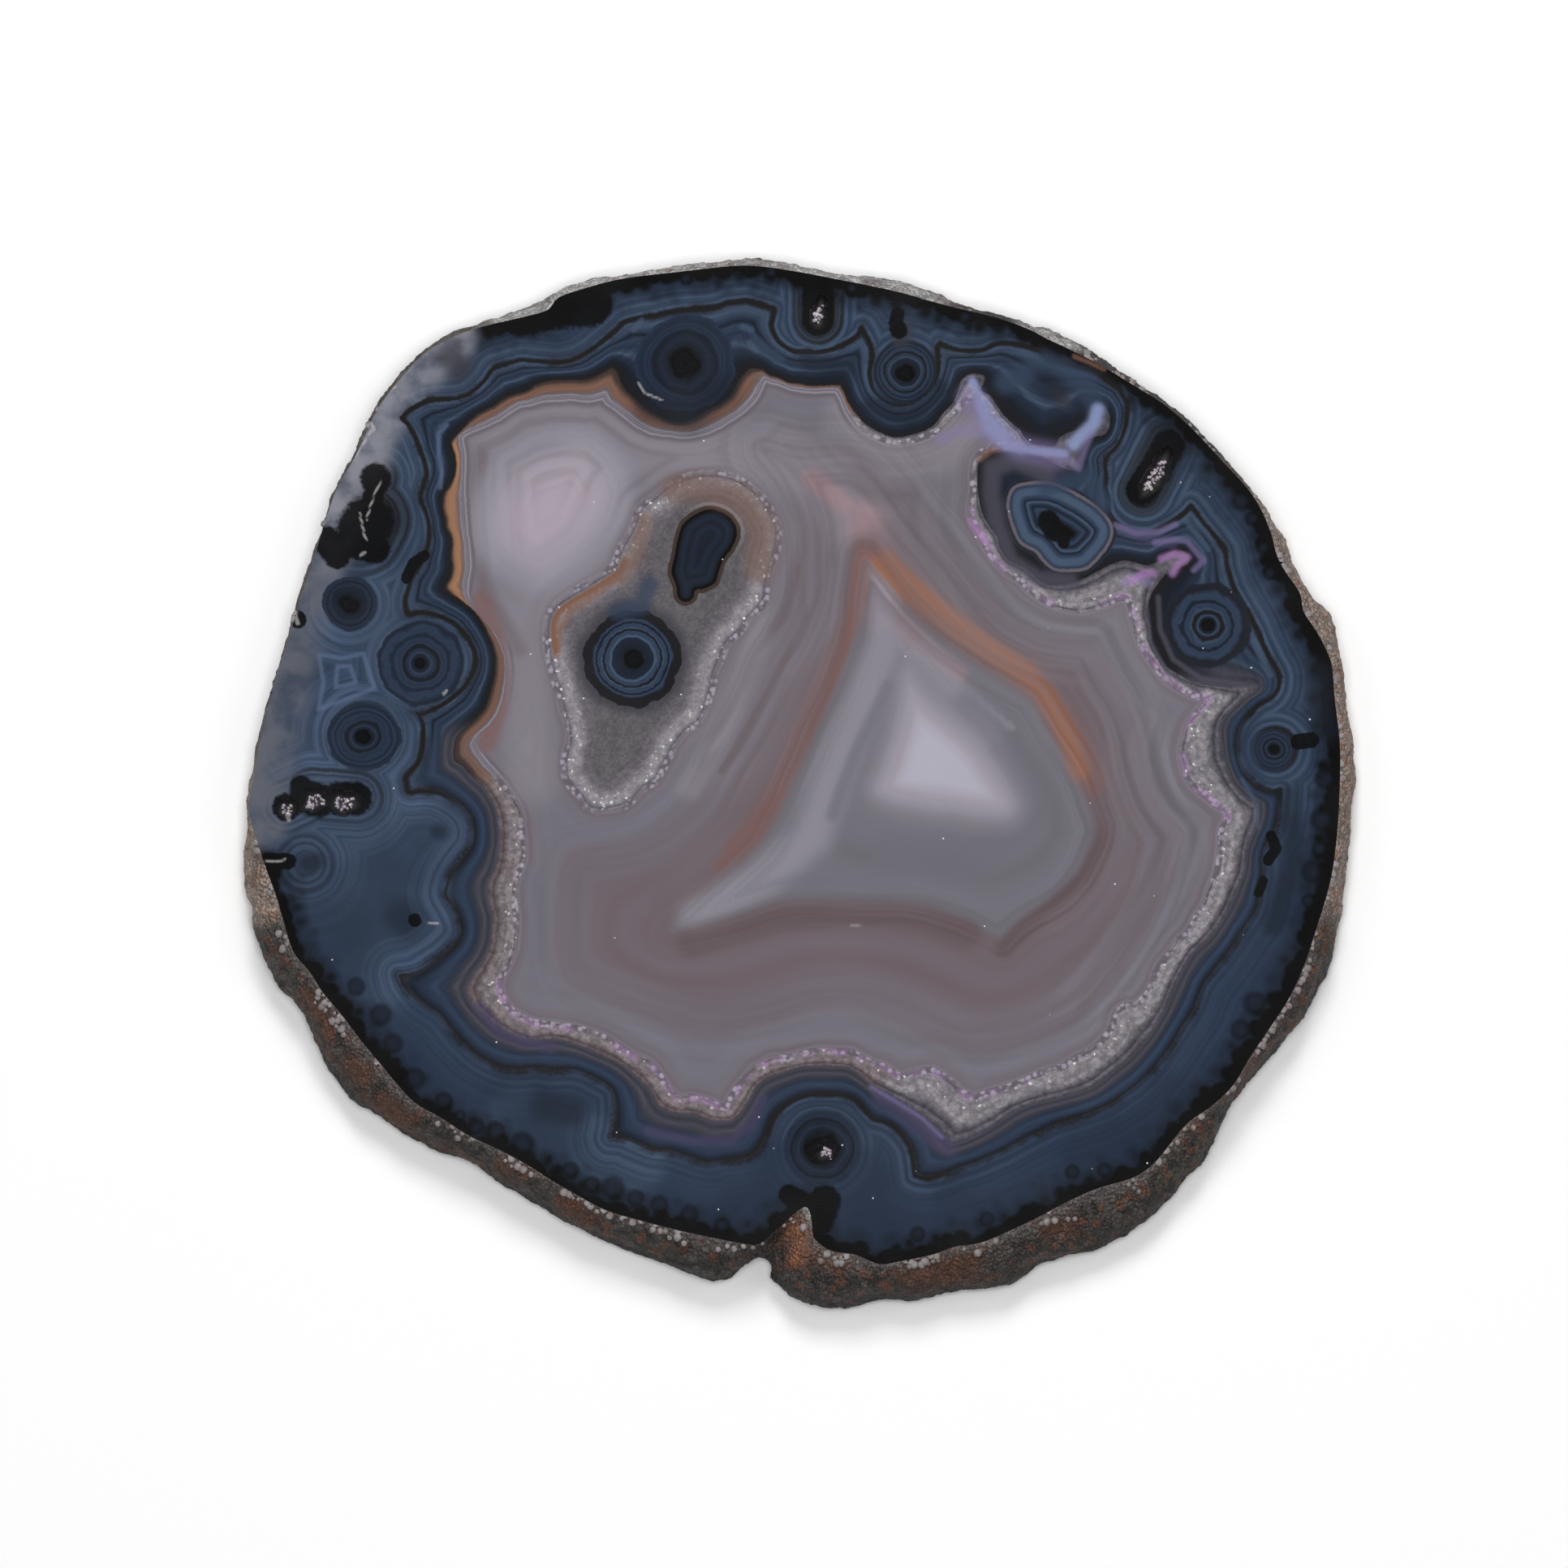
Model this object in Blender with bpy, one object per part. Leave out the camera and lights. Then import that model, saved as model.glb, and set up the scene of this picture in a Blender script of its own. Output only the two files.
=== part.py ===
"""Agate slice: one sawn and polished slab of a banded agate nodule, lying on its back.

Run with: blender --background --python part.py
Blender works in metres with +Z up. The origin is the middle of the slab's underside, and the
polished face looks up. The rim keeps the nodule's rough skin: it flares widely along the front
(-Y) and stands nearly upright on the other sides.
"""

import math

import bmesh
import bpy
from mathutils import Vector, noise

MM = 0.001

# Driving dimensions, in millimetres.
THICKNESS = 8.0
BELLY_HEIGHT = 3.0  # where the skin bulges furthest
UNDER_TUCK = 1.6  # how far the skin tucks in again below its belly
LUMP_HEIGHT = 0.55  # how far the skin's lumps stand out or sink in
LUMP_LENGTH = 5.5  # from one broad lump to the next

# The rim's outlines were measured on the slab as seen from this many degrees off the vertical.
LEAN = math.radians(12.0)
# The middle of the slab's box, on the same drawing.
DRAWING_CENTRE = (0.3, 0.95)

# The rim, counter-clockwise from the far side, in millimetres on that drawing. Each row is a place
# on the polished face's edge and the place on the skin's widest bulge that lies outward of it.
RIM = (
    ((-7.5, 63.8), (-7.5, 64.4)),
    ((-14.0, 63.1), (-14.2, 63.6)),
    ((-21.6, 62.2), (-21.9, 62.5)),
    ((-26.3, 61.0), (-26.9, 61.5)),
    ((-29.7, 59.8), (-30.5, 60.3)),
    ((-30.9, 58.3), (-32.5, 58.9)),
    ((-34.0, 57.4), (-34.6, 57.8)),
    ((-40.4, 55.8), (-40.6, 56.1)),
    ((-45.8, 53.2), (-46.0, 53.4)),
    ((-50.4, 48.2), (-50.6, 48.3)),
    ((-52.6, 44.7), (-52.8, 44.8)),
    ((-54.5, 40.4), (-54.7, 40.5)),
    ((-56.8, 36.4), (-57.0, 36.5)),
    ((-58.2, 32.6), (-58.4, 32.7)),
    ((-60.4, 25.4), (-60.6, 25.5)),
    ((-63.4, 15.8), (-63.6, 15.9)),
    ((-65.6, 8.0), (-65.8, 8.0)),
    ((-67.4, -1.5), (-67.7, -1.6)),
    ((-67.5, -4.4), (-67.9, -4.8)),
    ((-66.4, -8.0), (-68.1, -8.2)),
    ((-65.4, -11.0), (-68.1, -12.0)),
    ((-64.2, -14.2), (-67.8, -15.7)),
    ((-63.1, -17.9), (-67.0, -19.2)),
    ((-62.0, -21.2), (-65.5, -23.2)),
    ((-60.1, -23.4), (-63.7, -26.0)),
    ((-58.3, -26.2), (-61.2, -28.1)),
    ((-56.2, -28.6), (-59.6, -31.6)),
    ((-53.9, -31.7), (-57.7, -35.3)),
    ((-51.6, -34.4), (-55.0, -38.6)),
    ((-49.3, -37.2), (-52.2, -41.0)),
    ((-47.0, -39.6), (-49.2, -43.2)),
    ((-43.8, -41.4), (-45.6, -44.7)),
    ((-40.4, -43.6), (-42.0, -46.4)),
    ((-36.9, -45.2), (-38.7, -47.8)),
    ((-33.3, -47.1), (-35.4, -50.2)),
    ((-30.0, -49.2), (-32.2, -51.8)),
    ((-26.8, -51.0), (-28.7, -54.2)),
    ((-23.6, -52.7), (-25.2, -56.1)),
    ((-19.5, -53.9), (-21.0, -57.6)),
    ((-14.9, -55.1), (-16.4, -59.5)),
    ((-10.3, -56.1), (-12.2, -61.2)),
    ((-7.2, -56.7), (-9.2, -61.2)),
    ((-5.0, -56.9), (-6.9, -59.8)),
    ((-3.6, -56.0), (-5.0, -58.7)),
    ((-1.5, -54.1), (-4.1, -58.9)),
    ((1.0, -52.2), (-3.5, -59.8)),
    ((1.7, -54.2), (-3.3, -61.0)),
    ((2.0, -56.2), (-2.0, -61.9)),
    ((4.2, -57.7), (-0.5, -63.6)),
    ((7.0, -58.1), (2.5, -64.7)),
    ((9.9, -59.3), (6.0, -64.4)),
    ((12.2, -59.0), (9.8, -63.7)),
    ((16.6, -58.1), (15.0, -63.7)),
    ((19.4, -57.1), (18.2, -62.6)),
    ((22.4, -56.7), (22.0, -62.6)),
    ((26.2, -55.1), (26.0, -61.7)),
    ((29.0, -53.8), (29.3, -59.6)),
    ((32.8, -51.8), (33.0, -58.7)),
    ((36.8, -50.0), (37.2, -57.4)),
    ((41.0, -48.8), (41.4, -55.0)),
    ((43.7, -47.0), (45.0, -52.0)),
    ((46.0, -44.2), (48.0, -48.9)),
    ((48.0, -41.9), (50.4, -45.9)),
    ((50.8, -40.0), (51.4, -43.4)),
    ((53.5, -37.4), (53.7, -39.2)),
    ((55.5, -34.1), (56.5, -35.7)),
    ((57.8, -30.7), (59.7, -32.4)),
    ((60.5, -26.6), (62.5, -28.3)),
    ((62.4, -22.4), (65.1, -23.7)),
    ((63.6, -18.8), (66.6, -19.4)),
    ((64.9, -14.8), (67.3, -15.0)),
    ((65.8, -11.2), (67.8, -10.4)),
    ((66.5, -5.8), (68.3, -5.5)),
    ((66.8, 0.0), (68.7, -0.5)),
    ((66.8, 5.0), (68.4, 5.5)),
    ((66.2, 10.2), (67.8, 10.7)),
    ((65.9, 14.2), (67.3, 14.2)),
    ((65.0, 16.6), (67.0, 16.4)),
    ((63.8, 18.8), (66.4, 18.8)),
    ((62.4, 20.9), (65.1, 21.1)),
    ((62.0, 23.2), (63.1, 23.1)),
    ((60.2, 25.8), (61.6, 25.8)),
    ((59.1, 28.0), (60.6, 28.2)),
    ((58.5, 30.5), (59.6, 30.7)),
    ((57.0, 34.0), (57.7, 33.9)),
    ((55.0, 36.8), (55.3, 36.8)),
    ((52.2, 39.8), (52.5, 39.9)),
    ((49.0, 43.3), (49.2, 43.6)),
    ((45.4, 46.5), (45.6, 46.8)),
    ((42.2, 48.5), (42.4, 48.9)),
    ((38.5, 50.8), (38.8, 51.4)),
    ((35.8, 52.3), (36.5, 53.0)),
    ((33.2, 53.6), (33.6, 54.6)),
    ((30.8, 54.7), (31.0, 56.0)),
    ((28.8, 55.8), (29.0, 56.1)),
    ((24.7, 57.3), (24.8, 57.6)),
    ((20.2, 58.4), (20.3, 58.7)),
    ((16.7, 59.3), (16.8, 60.1)),
    ((12.2, 60.6), (12.3, 61.5)),
    ((6.9, 61.7), (7.0, 62.4)),
    ((0.7, 62.9), (0.8, 63.6)),
    ((-3.7, 63.6), (-3.7, 64.3)),
)
SAMPLES_PER_ROW = 3

# The open vugs in the polished face: place on the drawing, half length, half width, the angle of
# the length from +X in degrees, and depth.
VUGS = (
    ((-63.0, -3.4), 1.3, 1.2, 0, 1.1),
    ((-59.6, -2.3), 1.8, 1.5, 20, 1.5),
    ((-55.8, -2.6), 2.1, 1.6, 0, 1.5),
    ((3.4, -45.5), 1.3, 1.2, 0, 1.4),
    ((44.3, 37.8), 3.6, 1.3, 60, 1.6),
    ((2.6, 57.8), 2.2, 1.0, 80, 1.3),
)
VUG_DETAIL = 2

# Where the skin meets the polished face its slope from the horizontal is set by the first angle.
# The last angle is how far the skin has turned under when it meets the underside.
FACE_EDGE_TURN = math.radians(28.0)
UNDER_TURN = math.radians(62.0)
SKIN_RINGS = 6
UNDER_RINGS = 3

SMOOTH_ANGLE = math.radians(35.0)
STONE_COLOUR = (0.20, 0.19, 0.23, 1.0)
STONE_ROUGHNESS = 0.25


def clear_scene():
    """Starts from an empty scene."""
    for obj in list(bpy.data.objects):
        bpy.data.objects.remove(obj)


def new_collection(name):
    """A collection linked to the scene."""
    collection = bpy.data.collections.new(name)
    bpy.context.scene.collection.children.link(collection)
    return collection


def stone_material():
    """Polished blue-grey chalcedony."""
    material = bpy.data.materials.new("polished_agate")
    material.use_nodes = True
    shader = material.node_tree.nodes["Principled BSDF"]
    shader.inputs["Base Color"].default_value = STONE_COLOUR
    shader.inputs["Roughness"].default_value = STONE_ROUGHNESS
    shader.inputs["Metallic"].default_value = 0.0
    return material


def on_slab(point, height):
    """A place on the drawing, at a height above the underside, as a place on the slab.

    Seen at a lean, lengths along Y look shorter, and what lies below the face looks nearer.
    """
    across = point[0] - DRAWING_CENTRE[0]
    drop = (THICKNESS - height) * math.sin(LEAN)
    along = (point[1] + drop) / math.cos(LEAN) - DRAWING_CENTRE[1]
    return Vector((across, along, height))


def closed_curve(points, samples):
    """A smooth closed curve through the points, with a fixed number of samples for each."""
    curve = []
    count = len(points)
    for i in range(count):
        before, start, end, after = (points[(i + step) % count] for step in (-1, 0, 1, 2))
        for sample in range(samples):
            t = sample / samples
            curve.append(
                0.5
                * (
                    2.0 * start
                    + (end - before) * t
                    + (2.0 * before - 5.0 * start + 4.0 * end - after) * t**2
                    + (3.0 * start - before - 3.0 * end + after) * t**3
                )
            )
    return curve


def outward(ring, i):
    """The level direction that points out of a counter-clockwise ring at one of its points."""
    along = ring[(i + 1) % len(ring)] - ring[i - 1]
    return Vector((along.y, -along.x, 0.0)).normalized()


def lump(place):
    """How far the skin's lumps push it out at a place."""
    broad = noise.noise(place / LUMP_LENGTH)
    fine = noise.noise(place * 2.3 / LUMP_LENGTH + Vector((7.0, 3.0, 1.0)))
    return LUMP_HEIGHT * (broad + 0.5 * fine)


def skin_rings(face_edge, belly):
    """Rings of the rough skin, from the polished face's edge down to its widest bulge."""
    rings = [face_edge]
    start = FACE_EDGE_TURN
    for step in range(1, SKIN_RINGS + 1):
        turn = start + (math.pi / 2 - start) * step / SKIN_RINGS
        reach = (math.sin(turn) - math.sin(start)) / (1.0 - math.sin(start))
        height = THICKNESS - (THICKNESS - BELLY_HEIGHT) * (1.0 - math.cos(turn) / math.cos(start))
        ring = []
        for i, (edge, widest) in enumerate(zip(face_edge, belly)):
            place = edge.lerp(widest, reach)
            place.z = height
            ring.append(place + outward(belly, i) * lump(place) * reach)
        rings.append(ring)
    return rings


def under_rings(belly):
    """Rings where the skin turns under, from below its bulge to the flat underside."""
    rings = []
    for step in range(1, UNDER_RINGS + 1):
        turn = UNDER_TURN * step / UNDER_RINGS
        tuck = UNDER_TUCK * (1.0 - math.cos(turn)) / (1.0 - math.cos(UNDER_TURN))
        height = BELLY_HEIGHT * (1.0 - math.sin(turn) / math.sin(UNDER_TURN))
        ring = []
        for i, widest in enumerate(belly):
            place = widest - outward(belly, i) * tuck
            place.z = height
            ring.append(place)
        rings.append(ring)
    return rings


def loft(rings):
    """A closed mesh through the rings, capped with the polished face and the underside."""
    mesh = bmesh.new()
    loops = [[mesh.verts.new(place * MM) for place in ring] for ring in rings]
    count = len(rings[0])
    for upper, lower in zip(loops, loops[1:]):
        for i in range(count):
            j = (i + 1) % count
            mesh.faces.new((upper[i], upper[j], lower[j], lower[i]))
    mesh.faces.new(reversed(loops[0]))
    mesh.faces.new(loops[-1])
    bmesh.ops.recalc_face_normals(mesh, faces=mesh.faces)
    return mesh


def build_slab(collection):
    """The slab with its polished face, lumpy skin and flat underside."""
    face_edge = closed_curve([on_slab(face, THICKNESS) for face, _ in RIM], SAMPLES_PER_ROW)
    widest = closed_curve([on_slab(skin, BELLY_HEIGHT) for _, skin in RIM], SAMPLES_PER_ROW)
    upper = skin_rings(face_edge, widest)
    mesh = loft(upper + under_rings(upper[-1]))
    data = bpy.data.meshes.new("agate_slice")
    mesh.to_mesh(data)
    mesh.free()
    data.materials.append(stone_material())
    data.shade_smooth()
    data.set_sharp_from_angle(angle=SMOOTH_ANGLE)
    slab = bpy.data.objects.new("agate_slice", data)
    collection.objects.link(slab)
    return slab


def build_vug_cutter(number, vug, collection):
    """A rounded cutter, sunk into the polished face, for one open vug."""
    place, half_length, half_width, angle, depth = vug
    mesh = bmesh.new()
    bmesh.ops.create_icosphere(mesh, subdivisions=VUG_DETAIL, radius=1.0)
    bmesh.ops.scale(mesh, vec=(half_length * MM, half_width * MM, depth * MM), verts=mesh.verts)
    data = bpy.data.meshes.new(f"vug_cutter_{number}")
    mesh.to_mesh(data)
    mesh.free()
    cutter = bpy.data.objects.new(data.name, data)
    cutter.location = on_slab(place, THICKNESS) * MM
    cutter.rotation_euler.z = math.radians(angle)
    cutter.hide_render = True
    cutter.display_type = "WIRE"
    collection.objects.link(cutter)
    return cutter


def cut_vug(slab, cutter):
    """Cuts one vug out of the slab."""
    cut = slab.modifiers.new(cutter.name, "BOOLEAN")
    cut.operation = "DIFFERENCE"
    cut.object = cutter


def main():
    clear_scene()
    stone = new_collection("agate_slice")
    cutters = new_collection("vug_cutters")
    slab = build_slab(stone)
    for number, vug in enumerate(VUGS, start=1):
        cut_vug(slab, build_vug_cutter(number, vug, cutters))


main()
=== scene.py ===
"""Agate slice: the looks of the polished slab, its rough skin, its crystals and its grains.

It is laid out as a Blender add-on and run as a script. Lengths in the code are in millimetres
unless a name says otherwise, and meshes are in metres with +Z up, in the frame of the CAD part.
The pattern on the polished face was traced on the photograph's sheet: x to the right and
y down, ten sheet units to a millimetre of the slab.
"""

import math

import bmesh
import bpy
import numpy as np
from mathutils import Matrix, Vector, geometry, kdtree, noise


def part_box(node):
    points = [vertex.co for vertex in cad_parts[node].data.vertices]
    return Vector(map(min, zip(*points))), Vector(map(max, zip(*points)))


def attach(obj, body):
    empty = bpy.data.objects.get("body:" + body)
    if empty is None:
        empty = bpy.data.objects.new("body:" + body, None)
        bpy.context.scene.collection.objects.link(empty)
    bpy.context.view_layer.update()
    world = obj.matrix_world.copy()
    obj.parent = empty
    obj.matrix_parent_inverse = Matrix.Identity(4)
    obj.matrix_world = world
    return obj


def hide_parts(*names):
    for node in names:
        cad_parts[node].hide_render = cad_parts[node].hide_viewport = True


bl_info = {
    "name": "Agate Slice",
    "version": (1, 0, 0),
    "blender": (4, 5, 0),
    "location": "3D View > Sidebar > Agate",
    "description": "Builds a sawn and polished slice of banded agate with its rough skin",
    "category": "Object",
}

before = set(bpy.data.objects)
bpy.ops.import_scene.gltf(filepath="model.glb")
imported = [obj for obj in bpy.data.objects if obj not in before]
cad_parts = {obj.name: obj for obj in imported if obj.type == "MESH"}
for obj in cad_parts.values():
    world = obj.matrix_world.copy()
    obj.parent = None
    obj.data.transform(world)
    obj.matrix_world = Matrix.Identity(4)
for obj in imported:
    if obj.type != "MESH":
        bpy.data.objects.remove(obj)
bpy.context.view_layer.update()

MM = 0.001
BODY = "root"
NODE = "agate_slice"

THICKNESS = round(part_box(NODE)[1].z / MM, 3)
SHEET_UNIT = 0.1
SHEET_MIDDLE = (983.0, 962.0)
DRAWING_CENTRE = (0.3, 0.95)
LEAN = math.radians(12.0)

# Lines traced on the sheet. A star marks a sharp corner.


def trace(text):
    """Reads the points of a traced line: x, y and whether the line has a sharp corner there."""
    points = []
    for word in text.split():
        x, y = word.rstrip("*").split(",")
        points.append((float(x), float(y), word.endswith("*")))
    return points

DARK_LINE = trace("""
    492,514* 500,506 510,499 520,494 530,491 545,490 560,489 572,486 584,478 592,470 598,463 603,455
    610,450 620,447 640,441 650,442 665,443 680,445 695,444 707,441 717,436 728,429 738,421 750,411
    760,402 768,394 780,390 805,386 820,382 835,379 850,378 870,377 885,374 895,370 910,368 920,367
    928,370 940,373 954,378* 953,388 951,397 953,407 960,418 970,426 980,431 992,431 1008,431 1024,428
    1040,422 1050,416 1058,409 1062,402* 1068,412 1073,423 1075,436 1073,450 1073,464 1077,478
    1086,488 1098,495 1112,497 1126,493 1140,484 1150,472 1156,458 1157,440 1156,428 1159,421*
    1170,426 1184,429 1200,430 1214,428 1226,422 1240,420 1256,422 1270,425 1284,430 1294,438
    1310,444 1326,449 1344,454 1356,460 1366,468 1378,476 1385,486 1390,498 1390,510 1388,524
    1384,537 1376,550 1366,560 1362,568* 1364,582 1363,598 1366,612 1367,626 1372,638 1382,647
    1394,653 1408,655 1420,654 1434,648 1448,640 1460,631 1468,621* 1474,628 1484,642 1494,654
    1504,668 1511,680 1513,696 1518,712 1522,724 1529,736 1540,756 1550,775 1558,794 1566,812
    1574,826 1577,838 1574,852 1564,862 1552,868 1540,880 1532,890 1526,904 1524,920 1526,934
    1532,950 1542,962 1552,970 1566,975 1578,973* 1577,986 1575,1004 1570,1024 1560,1040 1556,1058
    1556,1076 1554,1092 1550,1116 1544,1130 1532,1146 1516,1170 1500,1192 1484,1212 1478,1226
    1470,1245 1456,1267 1440,1292 1420,1318 1400,1338 1380,1352 1360,1364 1340,1372 1320,1378
    1300,1384 1280,1394 1260,1404 1240,1415 1220,1424 1200,1432 1180,1438 1160,1446 1140,1450
    1126,1447* 1124,1430 1121,1414 1114,1402 1104,1390 1090,1382 1076,1378 1066,1368 1054,1354
    1040,1349 1020,1348 1000,1348 980,1354 964,1364 954,1374 948,1388 944,1400 936,1414 926,1424
    908,1428 892,1430 878,1434 864,1432 844,1425 826,1419 806,1417 792,1412 778,1406 766,1401
    753,1400* 756,1388 758,1372 757,1356 754,1342 740,1332 720,1322 700,1318 680,1319 660,1316
    640,1318 620,1316 600,1308 584,1298 566,1280 552,1264 540,1250 526,1242 510,1230 497,1214
    492,1200* 510,1197 528,1188 545,1176 560,1162 567,1148 564,1132 556,1116 548,1102 551,1086
    559,1070 570,1056 580,1042 583,1024 579,1008 568,994 554,984 538,977 520,975 504,976 501,966
    500,958 508,948 516,938 520,924 521,906 520,892 516,884 510,878* 522,878 538,872 556,860
    572,846 582,830 586,816 584,802 576,786 564,772 548,762 532,756 516,754 502,756 498,740 503,722
    506,710 514,700 520,688 526,674 528,656 526,640 521,624 517,612 520,600 524,585 522,570 517,556
    513,545 507,532 500,521
""")

BLUE_EDGE = trace("""
    563,533 569,526 576,519 585,511 595,505 605,500 615,493 625,487 640,482 650,478 660,471 675,467
    690,466 705,466 720,465 732,461 740,456 754,449* 761,457 765,468 770,478 780,487 790,496 800,503
    812,510 825,516 838,518 850,515 862,508 875,501 888,494 900,483 908,470 916,458 925,451 940,453*
    948,460 960,463 970,468 984,470 1000,473 1020,472 1036,472* 1040,480 1046,494 1054,506 1064,518
    1076,527 1088,533 1102,537 1120,535 1138,530 1152,521 1164,507 1176,494 1181,480 1186,466
    1196,459 1212,460 1214,468 1208,478* 1220,486 1228,496 1236,508 1246,518 1258,528 1262,536
    1272,544 1284,547 1300,548 1306,538 1316,532 1330,527 1340,520 1344,510 1346,500 1350,495
    1360,497 1367,504 1369,514 1368,526 1362,534 1352,536 1342,539 1337,547 1332,557 1331,568
    1332,578* 1320,579 1308,574 1292,566 1280,560 1260,553 1240,550 1224,554 1214,560 1206,570
    1205,582 1205,598 1207,614 1212,634 1220,648 1229,660 1234,676 1244,690 1260,697 1270,704
    1280,714 1296,720 1320,718 1345,708 1368,696 1386,690 1400,693 1416,696 1430,689 1440,681
    1454,677 1466,685 1464,695 1454,698 1446,708* 1438,706 1430,717 1420,731 1415,745 1414,758
    1419,772 1420,790 1428,808 1440,822 1456,832 1476,840 1500,845 1520,845 1545,842 1550,849*
    1534,860 1520,872 1510,882 1504,896 1505,910 1508,930 1514,950 1520,966 1532,980 1550,992*
    1551,1000 1548,1016 1542,1032 1536,1050 1534,1070 1528,1086 1520,1104 1508,1128 1492,1152
    1470,1172 1458,1192 1444,1220 1432,1246 1416,1274 1392,1300 1364,1324 1340,1340 1310,1350
    1280,1357 1262,1362 1245,1370 1228,1382 1210,1393 1190,1403 1170,1410* 1162,1396 1150,1384
    1136,1374 1122,1364 1110,1356 1096,1348 1080,1340 1066,1330 1054,1320 1040,1314 1020,1313
    1000,1313 984,1314 964,1320 944,1328 932,1338 924,1352 914,1368 904,1378 892,1380 878,1380
    864,1374 852,1371 834,1370 820,1366 810,1358 802,1344 790,1330 778,1320 764,1310 750,1302
    730,1294 710,1286 690,1280 670,1280 652,1282 636,1276 616,1266 600,1254 588,1242 580,1230
    575,1217* 584,1200 596,1184 604,1166 606,1150 608,1130 603,1110 602,1090 608,1074 612,1060
    615,1040 614,1020 612,1000 606,986 596,970 584,960 570,944 560,937 558,926* 562,908 576,894
    590,882 598,870 604,850 609,830 610,812 606,795 600,780 594,768 584,754 570,742 558,734 548,726
    548,720 554,710 556,698 554,684 555,672 554,660 549,650 548,640 544,626 544,616 546,606 552,598
    557,588 560,576 560,566 558,557 555,547 556,541
""")

DRUSE_EDGE = trace("""
    565,536* 570,532 580,527 595,521 608,515 617,510 625,504 632,499 640,495 655,493 670,489 690,488
    705,487 720,489 735,487 744,484* 748,492 760,501 772,510 785,520 800,528 812,531 825,532 840,534
    855,533 870,529 885,522 900,513 915,502 928,488 936,474 941,462* 950,466 962,469 975,474 990,477
    1004,478 1020,477 1032,478 1038,488 1044,502 1052,514 1062,526 1075,535 1088,541 1102,544
    1120,543 1138,539 1154,531 1168,520 1180,506 1190,494 1204,488 1212,496 1222,508 1232,520
    1242,530 1250,540 1240,544 1224,548 1210,554 1200,566 1198,582 1198,604 1194,626 1198,644
    1208,660 1218,680 1230,696 1244,708 1258,716 1268,728 1284,739 1300,748 1320,752 1334,753
    1352,749 1370,742 1384,737 1392,744 1394,756 1398,772 1402,788 1411,804 1422,820 1434,836
    1450,848 1466,855 1480,860 1491,858* 1480,871 1471,881 1462,894 1458,910 1454,926 1456,940
    1460,956 1470,970 1484,982 1496,992 1508,1000 1510,1009 1504,1020 1502,1040 1500,1058 1497,1076
    1488,1096 1482,1114 1472,1128 1462,1146 1450,1158 1440,1172 1426,1190 1418,1208 1410,1224
    1398,1236 1384,1238 1372,1248 1368,1264 1356,1280 1340,1293 1320,1303 1308,1312 1294,1316
    1280,1320 1260,1330 1240,1337 1220,1342 1210,1346 1198,1350* 1184,1342 1174,1332 1160,1322
    1148,1316 1132,1318 1120,1320 1112,1324 1100,1318 1090,1312 1076,1308 1060,1300 1048,1294
    1030,1293 1010,1293 990,1296 970,1301 952,1302 938,1308 926,1316 916,1328 908,1338 898,1352
    893,1362* 882,1357 868,1352 852,1349 838,1350 828,1342 818,1328 810,1316 800,1306 786,1300
    772,1292 756,1282 740,1274 716,1266 696,1262 676,1260 656,1256 636,1246 624,1232 618,1215
    622,1200 630,1184 636,1166 637,1150 638,1130 636,1110 636,1092 640,1078 646,1060 647,1044
    644,1020 642,1000 634,985 622,968 608,952 598,942 588,928 583,917* 590,905 602,895 612,882
    618,866 622,846 624,826 622,806 616,790 606,774 594,760 580,748 573,736 572,720 575,704 575,690
    574,676 572,660 570,640 569,620 568,600 568,580 568,560 566,546
""")

MAUVE_EDGE = trace("""
    936,545 962,552 990,558 1020,556 1050,556 1078,568 1104,596 1126,628 1150,656 1172,682 1192,707
    1214,736 1236,758 1262,775 1292,787 1322,791 1346,793* 1354,812 1366,836 1382,862 1396,896
    1402,924 1408,952 1418,980 1432,1006 1450,1030* 1440,1062 1427,1106 1405,1152 1374,1196
    1340,1236 1296,1264 1242,1284 1190,1288 1148,1274 1100,1250 1050,1234 1002,1238 952,1254
    900,1264 850,1262 810,1250 772,1237 735,1222 706,1206 695,1180 693,1150 694,1110 697,1075 706,1055*
    725,1050 750,1048 775,1044 800,1036 825,1022 845,1005 862,985 878,955 890,930 905,905 920,880
    935,850 950,815 966,790 980,760 990,730 992,690 988,650 975,615 956,582 938,560
""")

GREY_EDGE = trace("""
    1065,688* 1085,712 1105,738 1130,765 1155,788 1180,805 1205,822 1235,840 1262,855 1272,862*
    1285,885 1300,910 1315,932 1328,955 1338,980 1345,1000 1352,1017* 1350,1035 1342,1055 1330,1078
    1312,1100 1292,1115 1272,1125 1250,1140 1238,1152 1232,1159* 1222,1152 1205,1143 1180,1132
    1150,1122 1120,1115 1090,1114 1060,1114 1030,1111 1000,1110 970,1112 940,1120 910,1130 880,1138
    850,1145 822,1150* 830,1138 850,1122 875,1100 900,1078 925,1055 942,1035 955,1010 968,985 978,960
    990,935 1002,905 1015,878 1028,850 1040,820 1050,790 1055,760 1058,735 1062,710
""")

CORE_EDGE = trace("""
    1118,832* 1140,858 1170,885 1200,912 1225,945 1240,970 1248,990 1242,1003 1215,1004 1180,999
    1140,994 1100,986 1080,974 1088,950 1098,920 1107,890 1113,860
""")

ISLAND = trace("""
    872,583 888,583 907,589 925,600 939,613 949,629 957,645 959,661 955,680 949,701 944,725 939,744
    923,760 912,776 896,792 888,811 880,829 875,851 869,872 861,888 845,901 832,917 824,932 814,950
    806,962 792,972 780,984 768,993 750,997 735,998 724,993 714,980 703,967 696,952 697,930 701,912
    699,893 693,874 688,850 681,828 675,802 673,781 675,763 683,747 701,733 728,717 748,704 757,697
    763,680 771,664 781,645 789,624 805,612 824,597 843,588 859,584
""")

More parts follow.
